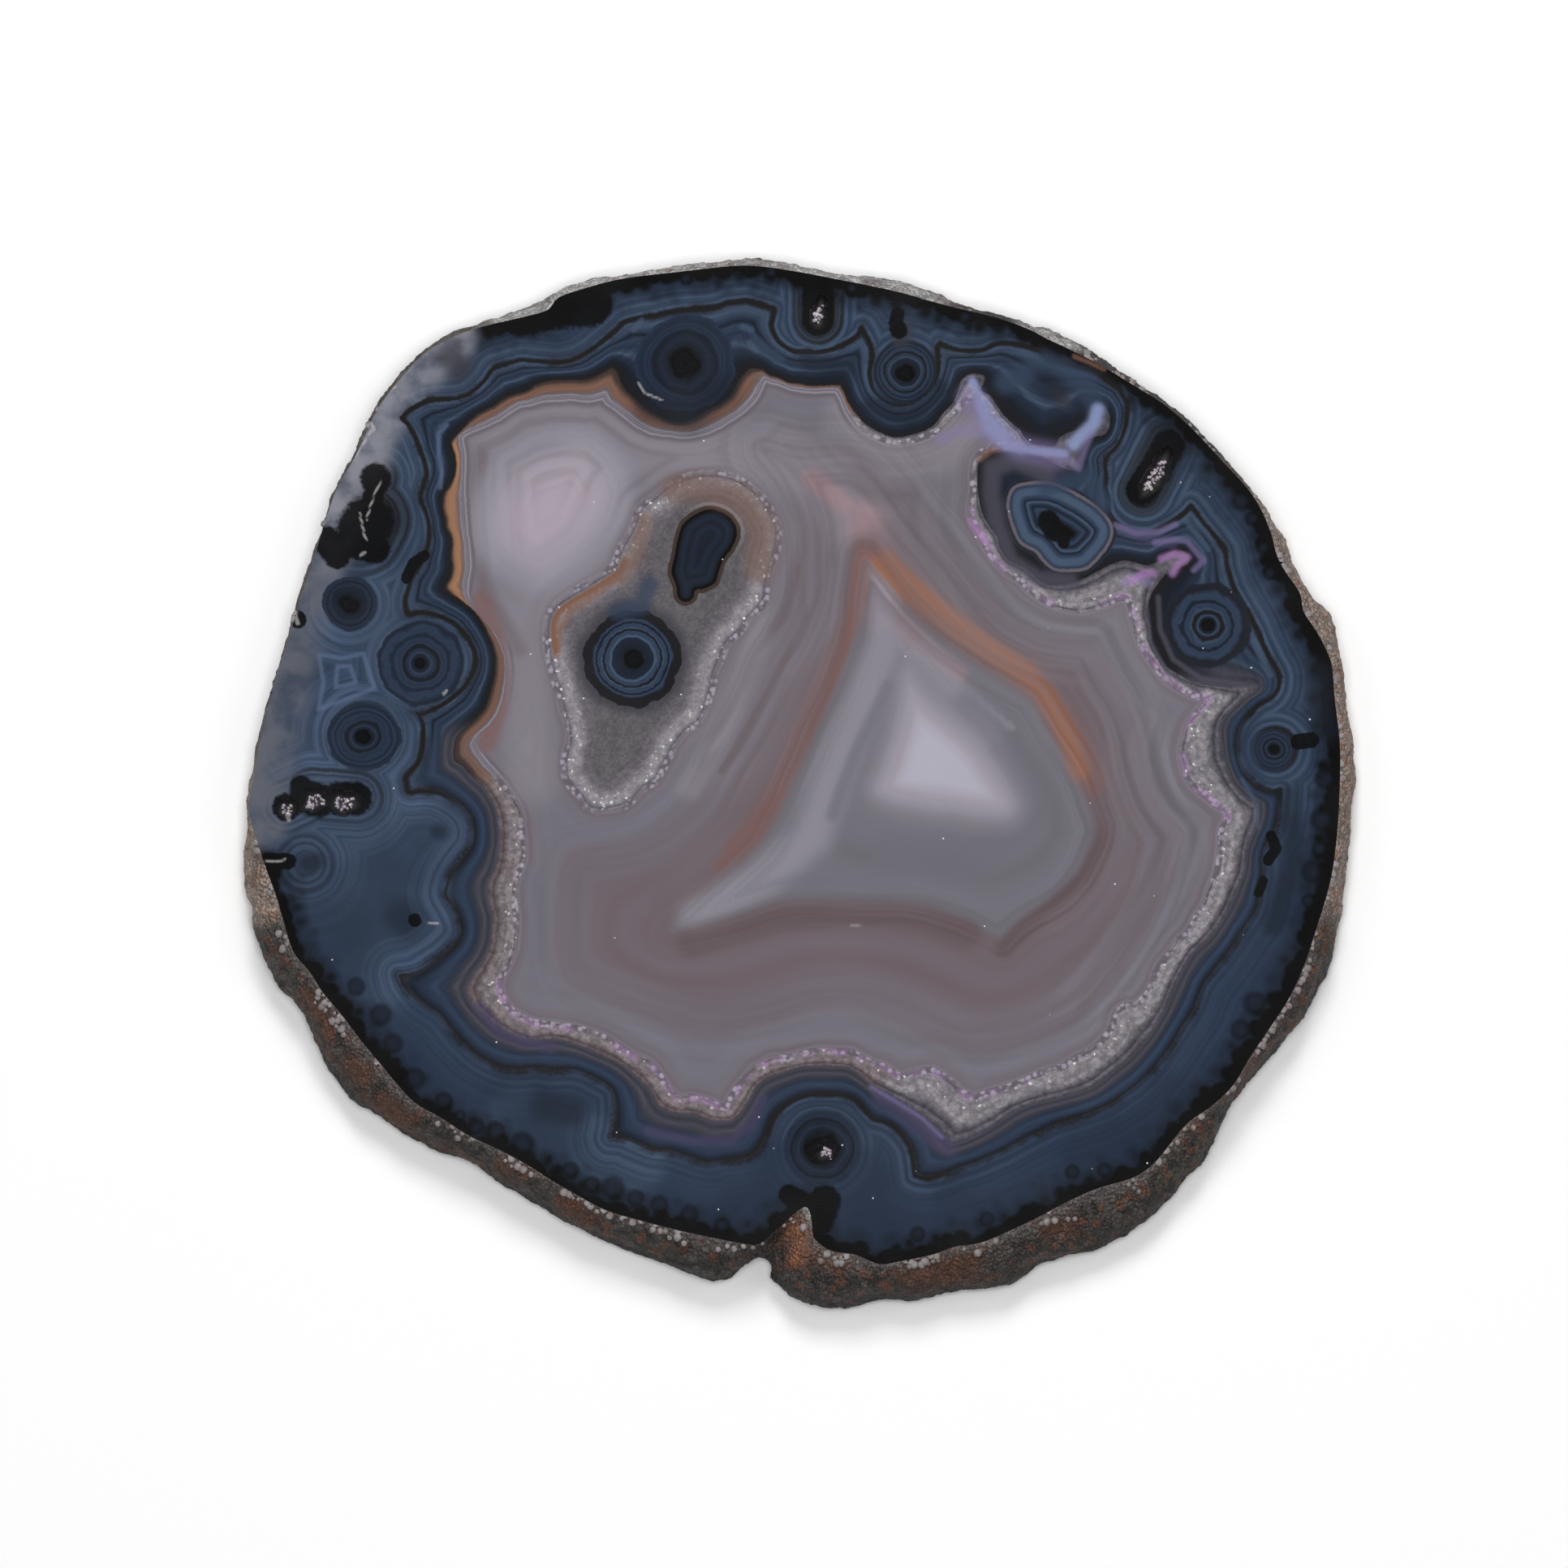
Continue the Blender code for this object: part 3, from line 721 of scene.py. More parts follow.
def bare_skin():
    """The side surface of the CAD part alone, in rows of quads."""
    mesh = bmesh.new()
    mesh.from_mesh(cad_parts[NODE].data)
    bmesh.ops.remove_doubles(mesh, verts=mesh.verts, dist=WELD_GAP * MM)
    level = [
        face
        for face in mesh.faces
        if all(v.co.z > (THICKNESS - WELD_GAP) * MM for v in face.verts)
        or all(v.co.z < WELD_GAP * MM for v in face.verts)
    ]
    bmesh.ops.delete(mesh, geom=level, context="FACES")
    widest = max(mesh.faces, key=lambda face: face.calc_center_median().x)
    skin = joined_faces(widest)
    spare = [face for face in mesh.faces if face not in skin]
    bmesh.ops.delete(mesh, geom=spare, context="FACES")
    bmesh.ops.join_triangles(
        mesh,
        faces=mesh.faces,
        angle_face_threshold=math.pi,
        angle_shape_threshold=math.pi,
    )
    data = bpy.data.meshes.new("bare_skin")
    mesh.to_mesh(data)
    mesh.free()
    return data


def joined_faces(face):
    """Every face that shared edges join to one face."""
    found = {face}
    waiting = [face]
    while waiting:
        for edge in waiting.pop().edges:
            new = [other for other in edge.link_faces if other not in found]
            found.update(new)
            waiting.extend(new)
    return found


def plain_mesh(obj):
    """The finished mesh of an object, with its modifiers worked in; the object is removed."""
    graph = bpy.context.evaluated_depsgraph_get()
    graph.update()
    data = bpy.data.meshes.new_from_object(obj.evaluated_get(graph), depsgraph=graph)
    bpy.data.objects.remove(obj)
    return data


def fine_skin(detail):
    """The skin subdivided to its fine grid, as a bmesh."""
    blank = bpy.data.objects.new("skin_blank", bare_skin())
    bpy.context.scene.collection.objects.link(blank)
    finer = blank.modifiers.new("finer", "SUBSURF")
    finer.levels = detail
    finer.render_levels = detail
    data = plain_mesh(blank)
    mesh = bmesh.new()
    mesh.from_mesh(data)
    bpy.data.meshes.remove(data)
    return mesh


def open_loop(mesh, height):
    """The open edge of a mesh at one height, as its vertices in counter-clockwise order."""
    beside = {}
    for edge in mesh.edges:
        if edge.is_boundary and all(abs(v.co.z - height * MM) < 0.5 * MM for v in edge.verts):
            for vert in edge.verts:
                beside.setdefault(vert, []).append(edge.other_vert(vert))
    start = max(beside, key=lambda vert: vert.co.x)
    here = max(beside[start], key=lambda vert: vert.co.y)
    loop = [start]
    while here is not start:
        loop.append(here)
        here = next(vert for vert in beside[here] if vert is not loop[-2])
    return loop


def inset_ring(mesh, loop, inset, height):
    """New vertices beside a loop, moved towards its inside and to a height."""
    ring = []
    count = len(loop)
    for i, vert in enumerate(loop):
        along = loop[(i + INSET_REACH) % count].co - loop[i - INSET_REACH].co
        inward = Vector((-along.y, along.x, 0.0)).normalized()
        place = vert.co + inward * inset * MM
        place.z = height * MM
        ring.append(mesh.verts.new(place))
    return ring


def bridge(mesh, upper, lower):
    """A wall of quads between two counter-clockwise rings, facing outward."""
    count = len(upper)
    for i in range(count):
        j = (i + 1) % count
        mesh.faces.new((upper[i], lower[i], lower[j], upper[j]))


def roughen_skin(mesh, settings):
    """Moves the skin's fine grid in and out: broad lumps, then grains; its two edges stay."""
    mesh.normal_update()
    moves = []
    for vert in mesh.verts:
        place = vert.co / MM
        hold = min(1.0, (THICKNESS - place.z) / EDGE_HOLD, place.z / EDGE_HOLD)
        lumps = noise.noise(place / LUMP_PITCH)
        warts = 0.5 - noise.voronoi(place / WART_PITCH)[0][0]
        grit = noise.noise(place / GRIT_PITCH)
        rise = lumps * 0.5 + warts * 0.5 + grit * 0.25
        moves.append(vert.normal * rise * max(0.0, hold) * settings.roughness_depth)
    for vert, move in zip(mesh.verts, moves):
        vert.co += move
        vert.co.z = min(max(vert.co.z, 0.0), THICKNESS * MM)


def hex_grid(low, high, step):
    """Evenly spread places over a rectangle."""
    rows = []
    for i, y in enumerate(np.arange(low[1], high[1], step * math.sqrt(0.75))):
        xs = np.arange(low[0] + (i % 2) * step / 2, high[0], step)
        rows.append(np.stack((xs, np.full(len(xs), y)), axis=1))
    return np.concatenate(rows)


def vug_reach(places, vug):
    """How far out in a vug each place lies: 1 at its ragged rim."""
    (x, y), half_length, half_width, angle, _ = vug
    middle = np.array((x - DRAWING_CENTRE[0], y / math.cos(LEAN) - DRAWING_CENTRE[1]))
    off = places - middle
    turn = math.radians(angle)
    u = off[:, 0] * math.cos(turn) + off[:, 1] * math.sin(turn)
    v = -off[:, 0] * math.sin(turn) + off[:, 1] * math.cos(turn)
    bearing = np.arctan2(v, u)
    ragged = 1.0 + 0.10 * np.sin(3 * bearing + x) + 0.07 * np.sin(5 * bearing + y)
    return np.hypot(u / half_length, v / half_width) / ragged


def face_places(outline, settings):
    """Places spread over the polished face: close in the bands and vugs, wider apart inside."""
    low, high = outline.min(0), outline.max(0)
    sheet_outline = on_sheet(outline)
    kept = []
    for kind, step in (("bands", settings.fine_step), ("middle", settings.broad_step)):
        grid = hex_grid(low, high, step / MM)
        sheet = on_sheet(grid)
        depth = depth_inside(sheet, sheet_outline)
        grid, sheet, depth = (part[depth > 0.5 * step / MM] for part in (grid, sheet, depth))
        banded = depth_inside(sheet, smooth_line(DRUSE_EDGE)) < BAND_MARGIN
        banded |= depth_inside(sheet, smooth_line(ISLAND)) > -BAND_MARGIN
        in_vug = np.zeros(len(grid), bool)
        for vug in VUGS:
            in_vug |= vug_reach(grid, vug) < VUG_GRID_REACH
        wanted = banded if kind == "bands" else ~banded
        kept.append(grid[wanted & ~in_vug])
    for vug in VUGS:
        middle = np.array((vug[0][0] - DRAWING_CENTRE[0], vug[0][1] / math.cos(LEAN)))
        reach = max(vug[1:3]) * 2.0
        grid = hex_grid(middle - reach, middle + reach, VUG_STEP)
        grid = grid[vug_reach(grid, vug) < VUG_GRID_REACH - 0.05]
        kept.append(grid[depth_inside(on_sheet(grid), sheet_outline) > VUG_STEP])
    return np.concatenate(kept)


def face_depth(places):
    """How deep the polished face is sunk at each place: the bowls of the open vugs."""
    depth = np.zeros(len(places))
    for vug in VUGS:
        share = np.clip(vug_reach(places, vug), 0.0, 1.0)
        depth = np.maximum(depth, vug[4] * np.sqrt(1.0 - share**3))
    return depth


def face_mesh(mesh, loop, settings):
    """Fills a counter-clockwise loop with the fine triangles of the polished face."""
    outline = np.array([vert.co[:2] for vert in loop]) / MM
    inner = face_places(outline, settings)
    places = np.concatenate((outline, inner))
    count = len(outline)
    rim = [(i, (i + 1) % count) for i in range(count)]
    made = geometry.delaunay_2d_cdt(
        [Vector(place) for place in places], rim, [list(range(count))], 1, 1e-7, True
    )
    flat = np.array([tuple(vert) for vert in made[0]])
    depth = face_depth(flat)
    verts = []
    for place, sunk, sources in zip(flat, depth, made[3]):
        on_rim = [source for source in sources if source < count]
        if on_rim:
            verts.append(loop[on_rim[0]])
            continue
        verts.append(mesh.verts.new((place[0] * MM, place[1] * MM, (THICKNESS - sunk) * MM)))
    triangles = np.array(made[2])
    for corners in triangles[is_inside(flat[triangles].mean(axis=1), outline)]:
        mesh.faces.new([verts[corner] for corner in corners])


# Shader nodes.


def linear(code):
    """A colour code as linear red, green and blue."""
    parts = [int(code[i : i + 2], 16) / 255.0 for i in (1, 3, 5)]
    return [p / 12.92 if p <= 0.04045 else ((p + 0.055) / 1.055) ** 2.4 for p in parts]


class Bench:
    """Lays out and joins the nodes of one node tree."""

    def __init__(self, tree):
        self.tree = tree
        self.count = 0

    def node(self, kind, **settings):
        made = self.tree.nodes.new(kind)
        made.location = (self.count // 8 * 220, -(self.count % 8) * 260)
        self.count += 1
        for name, value in settings.items():
            setattr(made, name, value)
        return made

    def feed(self, socket, value):
        """Joins a socket to another, or sets its own value."""
        if isinstance(value, bpy.types.NodeSocket):
            self.tree.links.new(value, socket)
        elif socket.type == "RGBA":
            socket.default_value = (*value, 1.0)
        else:
            socket.default_value = value

    def math(self, operation, *values):
        made = self.node("ShaderNodeMath", operation=operation)
        for socket, value in zip(made.inputs, values):
            self.feed(socket, value)
        return made.outputs[0]

    def mix(self, share, low, high, blend="MIX"):
        made = self.node("ShaderNodeMix", data_type="RGBA", blend_type=blend)
        for socket, value in zip((made.inputs[0], made.inputs[6], made.inputs[7]), (share, low, high)):
            self.feed(socket, value)
        return made.outputs[2]

    def ramp(self, value, stops):
        """A colour for each value: stops are pairs of a position and a colour."""
        made = self.node("ShaderNodeValToRGB")
        elements = made.color_ramp.elements
        elements.remove(elements[1])
        for i, (position, colour) in enumerate(stops):
            stop = elements[0] if i == 0 else elements.new(position)
            stop.position = position
            stop.color = (*colour, 1.0)
        self.feed(made.inputs[0], value)
        return made.outputs[0]

    def span(self, value, low, high):
        """A soft step from 0 at one value to 1 at another."""
        made = self.node("ShaderNodeMapRange", interpolation_type="SMOOTHSTEP")
        for socket, given in zip(made.inputs, (value, low, high)):
            self.feed(socket, given)
        return made.outputs[0]

    def field(self, name):
        """A value kept in the mesh for each of its vertices."""
        return self.node("ShaderNodeAttribute", attribute_name=name).outputs["Fac"]

    def noise(self, vector, scale, detail=2.0):
        made = self.node("ShaderNodeTexNoise")
        self.feed(made.inputs["Vector"], vector)
        self.feed(made.inputs["Scale"], scale)
        self.feed(made.inputs["Detail"], detail)
        return made.outputs[0]

    def cells(self, vector, scale, feature="F1"):
        made = self.node("ShaderNodeTexVoronoi", feature=feature)
        self.feed(made.inputs["Vector"], vector)
        self.feed(made.inputs["Scale"], scale)
        return made

    def place(self):
        """The place on the object, in millimetres."""
        here = self.node("ShaderNodeTexCoord").outputs["Object"]
        made = self.node("ShaderNodeVectorMath", operation="SCALE")
        self.feed(made.inputs[0], here)
        self.feed(made.inputs["Scale"], 1.0 / MM)
        return made.outputs[0]

    def group(self, tree, **values):
        made = self.node("ShaderNodeGroup", node_tree=tree)
        for name, value in values.items():
            self.feed(made.inputs[name], value)
        return made.outputs

    def bump(self, height, strength, distance):
        made = self.node("ShaderNodeBump")
        self.feed(made.inputs["Strength"], strength)
        self.feed(made.inputs["Distance"], distance * MM)
        self.feed(made.inputs["Height"], height)
        return made.outputs[0]


def new_material(name):
    """A material's bench and its Principled shader."""
    material = bpy.data.materials.new(name)
    material.use_nodes = True
    shader = material.node_tree.nodes["Principled BSDF"]
    shader.location = (3600, 0)
    material.node_tree.nodes["Material Output"].location = (3900, 0)
    return material, Bench(material.node_tree), shader


def new_group(name, inputs, outputs):
    """A shader node group with named sockets, its bench, and its own input and output nodes."""
    tree = bpy.data.node_groups.new(name, "ShaderNodeTree")
    for label, kind in inputs:
        tree.interface.new_socket(label, in_out="INPUT", socket_type=kind)
    for label, kind in outputs:
        tree.interface.new_socket(label, in_out="OUTPUT", socket_type=kind)
    bench = Bench(tree)
    return tree, bench, bench.node("NodeGroupInput").outputs, bench.node("NodeGroupOutput").inputs


def grit_group():
    """Grains of one size, shared by the druse, the skin and the crystals."""
    tree, bench, given, made = new_group(
        "stone_grit",
        (("Place", "NodeSocketVector"), ("Grain", "NodeSocketFloat")),
        (("Shade", "NodeSocketFloat"), ("Edge", "NodeSocketFloat"), ("Glint", "NodeSocketFloat")),
    )
    scale = bench.math("DIVIDE", 1.0, given["Grain"])
    cells = bench.cells(given["Place"], scale)
    parts = bench.node("ShaderNodeSeparateColor")
    bench.feed(parts.inputs[0], cells.outputs["Color"])
    bench.feed(made["Shade"], parts.outputs[0])
    bench.feed(made["Edge"], bench.span(cells.outputs["Distance"], 0.2, 0.75))
    # Glint picks a few grains at random for painted glints.
    bench.feed(made["Glint"], bench.span(parts.outputs[1], 0.955, 0.985))
    return tree


def banding_group():
    """Thin bands that follow a distance and change slowly along their way."""
    tree, bench, given, made = new_group(
        "thin_bands",
        (
            ("Place", "NodeSocketVector"),
            ("Distance", "NodeSocketFloat"),
            ("Pitch", "NodeSocketFloat"),
        ),
        (("Band", "NodeSocketFloat"),),
    )
    parts = bench.node("ShaderNodeSeparateXYZ")
    bench.feed(parts.inputs[0], given["Place"])
    across = bench.math("DIVIDE", given["Distance"], given["Pitch"])
    warped = bench.node("ShaderNodeCombineXYZ")
    bench.feed(warped.inputs[0], across)
    bench.feed(warped.inputs[1], bench.math("MULTIPLY", parts.outputs[0], BAND_CHANGE))
    bench.feed(warped.inputs[2], bench.math("MULTIPLY", parts.outputs[1], BAND_CHANGE))
    band = bench.noise(warped.outputs[0], 1.0, 1.0)
    bench.feed(made["Band"], bench.span(band, 0.32, 0.68))
    return tree


# The polished face.


def stone_ramp(bench, value, colours, stops, reach=1.0):
    """A ramp whose stops name the stone's colours; reach is the value at the ramp's end."""
    share = value if reach == 1.0 else bench.math("DIVIDE", value, reach)
    return bench.ramp(share, [(position / reach, colours[name]) for position, name in stops])


def share_between(bench, low, high):
    """How far a place is from one traced line to the next: 0 to 1."""
    return bench.math("DIVIDE", low, bench.math("SUBTRACT", low, high))


def thin_lines(bench, groups, place, distance, pitch):
    """Thin bands that follow a distance."""
    return bench.group(groups["thin_bands"], Place=place, Distance=distance, Pitch=pitch)[0]


def outer_bands(bench, colours, lines, groups):
    """From the skin in to the dark line: black border, night blue, thin pale lines."""
    out = bench.math("MINIMUM", bench.math("MULTIPLY", lines["dark_line"], -1.0), lines["nest"])
    firm = bench.field("firm_side")
    banded = stone_ramp(bench, out, colours, OUTER_STOPS, 6.0)
    base = bench.mix(bench.math("MULTIPLY_ADD", firm, 0.7, 0.3), colours["deep"], banded)
    clear = bench.field("clear_side")
    base = bench.mix(bench.math("MULTIPLY", clear, 0.25), base, colours["haze"])
    thin = thin_lines(bench, groups, lines["place"], out, 0.55)
    share = bench.math("ADD", bench.math("MULTIPLY_ADD", firm, 0.2, 0.2), bench.math("MULTIPLY", clear, 0.2))
    share = bench.math("MULTIPLY", bench.span(out, 7.0, 0.8), share)
    paler = bench.mix(clear, colours["haze"], colours["mist"])
    base = bench.mix(bench.math("MULTIPLY", thin, share), base, paler)
    tide = bench.span(bench.noise(lines["place"], 0.07, 2.0), 0.40, 0.66)
    base = bench.mix(bench.math("MULTIPLY", tide, 0.4), base, colours["pool"])
    rim = lines["rim"]
    scallop = bench.cells(lines["place"], 0.55).outputs["Distance"]
    wave = bench.math("MULTIPLY", bench.math("SUBTRACT", 0.5, scallop), 2.2)
    smoke = bench.field("smoke")
    thick = bench.math("MULTIPLY_ADD", bench.field("wide_border"), WIDER_BORDER, BORDER_WIDTH)
    thick = bench.math("MULTIPLY_ADD", smoke, -3.5, thick)
    off_border = bench.math("SUBTRACT", bench.math("SUBTRACT", rim, thick), wave)
    shade = bench.math("MULTIPLY", bench.span(off_border, 3.0, 0.0), 0.8)
    base = bench.mix(shade, base, colours["night"])
    base = bench.mix(bench.span(off_border, 0.8, -0.3), base, colours["soot"])
    bubble = bench.field("bubble")
    base = bench.mix(bench.math("MULTIPLY", bench.span(bubble, 1.35, 0.8), 0.65), base, colours["soot"])
    base = bench.mix(bench.math("MULTIPLY", bench.span(bubble, 0.85, 0.2), 0.5), base, colours["pool"])
    haze = bench.math("MULTIPLY", smoke, bench.span(rim, 9.0, 0.5))
    cloud = bench.span(bench.noise(lines["place"], 0.28, 4.0), 0.30, 0.62)
    haze = bench.math("MULTIPLY", haze, bench.math("MULTIPLY_ADD", cloud, 0.65, 0.30))
    smoky = bench.mix(bench.field("haze_side"), colours["smoke"], colours["pale_smoke"])
    return bench.mix(haze, base, smoky)


def fringe(bench, colours, lines, groups, grit, share):
    """The zone along the inner side of the blue: a crust of crystals, or a tan fringe."""
    place = lines["place"]
    warm = stone_ramp(bench, share, colours, TAN_STOPS)
    for name, side, low, high in (("russet", "russet_side", 0.10, 0.45), ("apricot", "amber_side", 0.05, 0.30)):
        tint = bench.math("MULTIPLY", bench.span(share, low, high), bench.span(share, 0.85, 0.45))
        tint = bench.math("MULTIPLY", tint, 0.85)
        warm = bench.mix(bench.math("MULTIPLY", tint, bench.field(side)), warm, colours[name])
    thin = thin_lines(bench, groups, place, lines["blue_edge"], 0.45)
    warm = bench.mix(bench.math("MULTIPLY", thin, 0.25), warm, colours["bark"])
    druse = stone_ramp(bench, share, colours, DRUSE_STOPS)
    streak = thin_lines(bench, groups, place, lines["druse_edge"], 0.4)
    druse = bench.mix(bench.math("MULTIPLY", streak, 0.25), druse, colours["dusk"])
    druse = bench.mix(bench.math("MULTIPLY", bench.field("warm_side"), 0.35), druse, colours["tan"])
    druse = bench.mix(bench.math("MULTIPLY", grit["Shade"], 0.32), druse, colours["line"])
    gap = bench.span(bench.cells(place, 1.1).outputs["Distance"], 0.30, 0.75)
    druse = bench.mix(bench.math("MULTIPLY", gap, 0.32), druse, colours["line"])
    # Painted glints: a few grains of the crust turned white.
    glint = bench.math("MULTIPLY", grit["Glint"], bench.span(share, 0.45, 0.8))
    druse = bench.mix(glint, druse, colours["frost"])
    return bench.mix(bench.field("tan_side"), druse, warm)


def bead_row(bench, colours, place, depth, where, colour):
    """A row of small round beads along a traced line, each with a painted highlight in its middle and painted
    shade round it.
    """
    beads = bench.cells(place, 1.0 / BEAD_SIZE)
    row = bench.math("MULTIPLY", bench.span(depth, -0.65, -0.45), bench.span(depth, 0.30, 0.15))
    row = bench.math("MULTIPLY", row, where)
    row = bench.math("MULTIPLY", row, bench.span(bench.noise(place, 0.35, 2.0), 0.35, 0.60))
    bead = bench.mix(bench.span(beads.outputs["Distance"], 0.28, 0.62), colours["bead"], colours["shadow"])
    return bench.mix(row, colour, bead)


def polished_agate(colours, groups):
    """The banded face: each zone between two traced lines has its own run of colours."""
    material, bench, shader = new_material("polished_agate")
    place = bench.place()
    slow = bench.math("SUBTRACT", bench.noise(place, 0.30, 2.0), 0.5)
    quick = bench.math("SUBTRACT", bench.noise(place, 1.9, 3.0), 0.5)
    sway = bench.math("ADD", bench.math("MULTIPLY", slow, 0.30), bench.math("MULTIPLY", quick, 0.20))
    lines = {name: bench.math("ADD", bench.field(name), sway) for name in FACE_LINES}
    lines["place"] = place
    lines["rim"] = bench.field("rim")
    grit = bench.group(groups["stone_grit"], Place=place, Grain=0.28)

    colour = outer_bands(bench, colours, lines, groups)

    share = share_between(bench, lines["dark_line"], lines["blue_edge"])
    blue = stone_ramp(bench, share, colours, BLUE_STOPS)
    dusky = stone_ramp(bench, share, colours, DUSKY_STOPS)
    blue = bench.mix(bench.field("dusky_side"), blue, dusky)
    thin = thin_lines(bench, groups, place, lines["dark_line"], 0.45)
    share = bench.math("MULTIPLY_ADD", bench.field("dusky_side"), -0.15, 0.35)
    blue = bench.mix(bench.math("MULTIPLY", thin, share), blue, colours["night"])
    colour = bench.mix(bench.span(lines["dark_line"], -0.03, 0.03), colour, blue)
    width = bench.math("ABSOLUTE", lines["dark_line"])
    firm = bench.field("firm_side")
    broken = bench.span(bench.noise(place, 0.30, 3.0), 0.38, 0.62)
    ribbon = bench.math("MULTIPLY", bench.span(width, 1.05, 0.25), broken)
    ribbon = bench.math("MULTIPLY", ribbon, bench.math("MULTIPLY_ADD", grit["Shade"], -0.5, 0.9))
    colour = bench.mix(ribbon, colour, colours["line"])
    thick = bench.math("MULTIPLY_ADD", bench.noise(place, 0.18, 1.0), 0.5, 0.12)
    strong = bench.math("MULTIPLY", bench.span(width, thick, bench.math("MULTIPLY", thick, 0.4)), firm)
    colour = bench.mix(strong, colour, colours["line"])

    share = share_between(bench, lines["blue_edge"], lines["druse_edge"])
    zone = fringe(bench, colours, lines, groups, grit, share)
    colour = bench.mix(bench.span(lines["blue_edge"], -0.04, 0.04), colour, zone)

    inside = bench.span(lines["druse_edge"], -0.04, 0.04)
    pale = stone_ramp(bench, lines["druse_edge"], colours, PALE_STOPS, 6.0)
    share = share_between(bench, lines["druse_edge"], lines["mauve_edge"])
    pale = bench.mix(bench.span(share, 0.70, 1.0), pale, colours["mauve"])
    mauve_share = share_between(bench, lines["mauve_edge"], lines["grey_edge"])
    mauve = stone_ramp(bench, mauve_share, colours, MAUVE_STOPS)
    inner = bench.mix(bench.span(lines["mauve_edge"], -2.5, 2.5), pale, mauve)
    share = share_between(bench, lines["grey_edge"], lines["core_edge"])
    grey = stone_ramp(bench, share, colours, GREY_STOPS)
    inner = bench.mix(bench.span(lines["grey_edge"], -0.6, 0.6), inner, grey)
    plain = inner
    inner = paint_marks(bench, colours, quick, INNER_MARKS, inner)
    thin = thin_lines(bench, groups, place, lines["grey_edge"], 0.5)
    near_grey = bench.span(bench.math("ABSOLUTE", lines["grey_edge"]), 4.0, 2.0)
    thin = bench.math("MULTIPLY", bench.math("MULTIPLY", thin, near_grey), 0.40)
    inner = bench.mix(thin, inner, plain)
    lobe = bench.math("ADD", lines["lobe"], 3.0)
    inner = bench.mix(
        bench.span(lobe, 0.0, 3.0), inner, stone_ramp(bench, lobe, colours, LOBE_STOPS, 10.0)
    )
    core = bench.math("ADD", lines["core_edge"], 4.0)
    inner = bench.mix(
        bench.span(core, 0.0, 5.0), inner, stone_ramp(bench, core, colours, CORE_STOPS, 9.5)
    )
    inner = inner_lines(bench, colours, lines, groups, inner)
    rim_lines = bench.math("MULTIPLY_ADD", bench.field("tan_side"), 0.75, 0.25)
    rim_lines = bench.math("MULTIPLY", rim_lines, bench.span(lines["druse_edge"], 1.2, 0.6))
    rim_lines = bench.math("MULTIPLY", rim_lines, bench.span(bench.field("ember"), 0.5, 0.1))
    edge = stone_ramp(bench, lines["druse_edge"], colours, RIM_STOPS, 1.2)
    inner = bench.mix(rim_lines, inner, edge)
    colour = bench.mix(inside, colour, inner)
    beaded = bench.math("SUBTRACT", 1.0, bench.field("tan_side"))
    colour = bead_row(bench, colours, place, lines["druse_edge"], beaded, colour)
    pink = bench.math("MULTIPLY", bench.span(lines["druse_edge"], -1.0, -0.5), bench.span(lines["druse_edge"], 0.3, 0.0))
    pink = bench.math("MULTIPLY", pink, bench.span(bench.noise(place, 0.5, 2.0), 0.40, 0.60))
    pink = bench.math("MULTIPLY", bench.math("MULTIPLY", pink, bench.field("pink_side")), 0.30)
    colour = bench.mix(pink, colour, colours["rose"])

    colour = island_bands(bench, colours, lines, groups, grit, colour)
    colour = eye_colours(bench, colours, place, colour)
    colour = paint_marks(bench, colours, quick, MARKS, colour)

    dust = bench.cells(place, 0.42)
    speck = bench.span(dust.outputs["Distance"], 0.055, 0.035)
    chosen = bench.span(bench.noise(dust.outputs["Position"], 7.0, 0.0), 0.60, 0.64)
    colour = bench.mix(bench.math("MULTIPLY", speck, chosen), colour, colours["frost"])

    bench.feed(shader.inputs["Base Color"], colour)
    smear = bench.noise(place, 0.12, 3.0)
    rough = bench.math("ADD", bench.math("MULTIPLY", smear, 0.10), 0.10)
    sunk = bench.span(bench.field("sunk"), 0.02, 0.25)
    bench.feed(shader.inputs["Roughness"], bench.math("ADD", rough, bench.math("MULTIPLY", sunk, 0.5)))
    shader.inputs["IOR"].default_value = 1.54
    bench.feed(shader.inputs["Normal"], bench.bump(grit["Edge"], 0.06, 0.05))
    return material


def paint_marks(bench, colours, quick, marks, colour):
    """Lays the marks over a colour; a little noise makes crisp edges uneven."""
    for name, (strength, soft, _) in marks.items():
        uneven = bench.math("MULTIPLY_ADD", quick, 0.6 - soft, 1.0)
        worn = bench.math("MULTIPLY", bench.field(name), uneven)
        mask = bench.span(worn, 0.5 - soft, 0.5 + soft)
        colour = bench.mix(bench.math("MULTIPLY", mask, strength), colour, colours[name])
    return colour


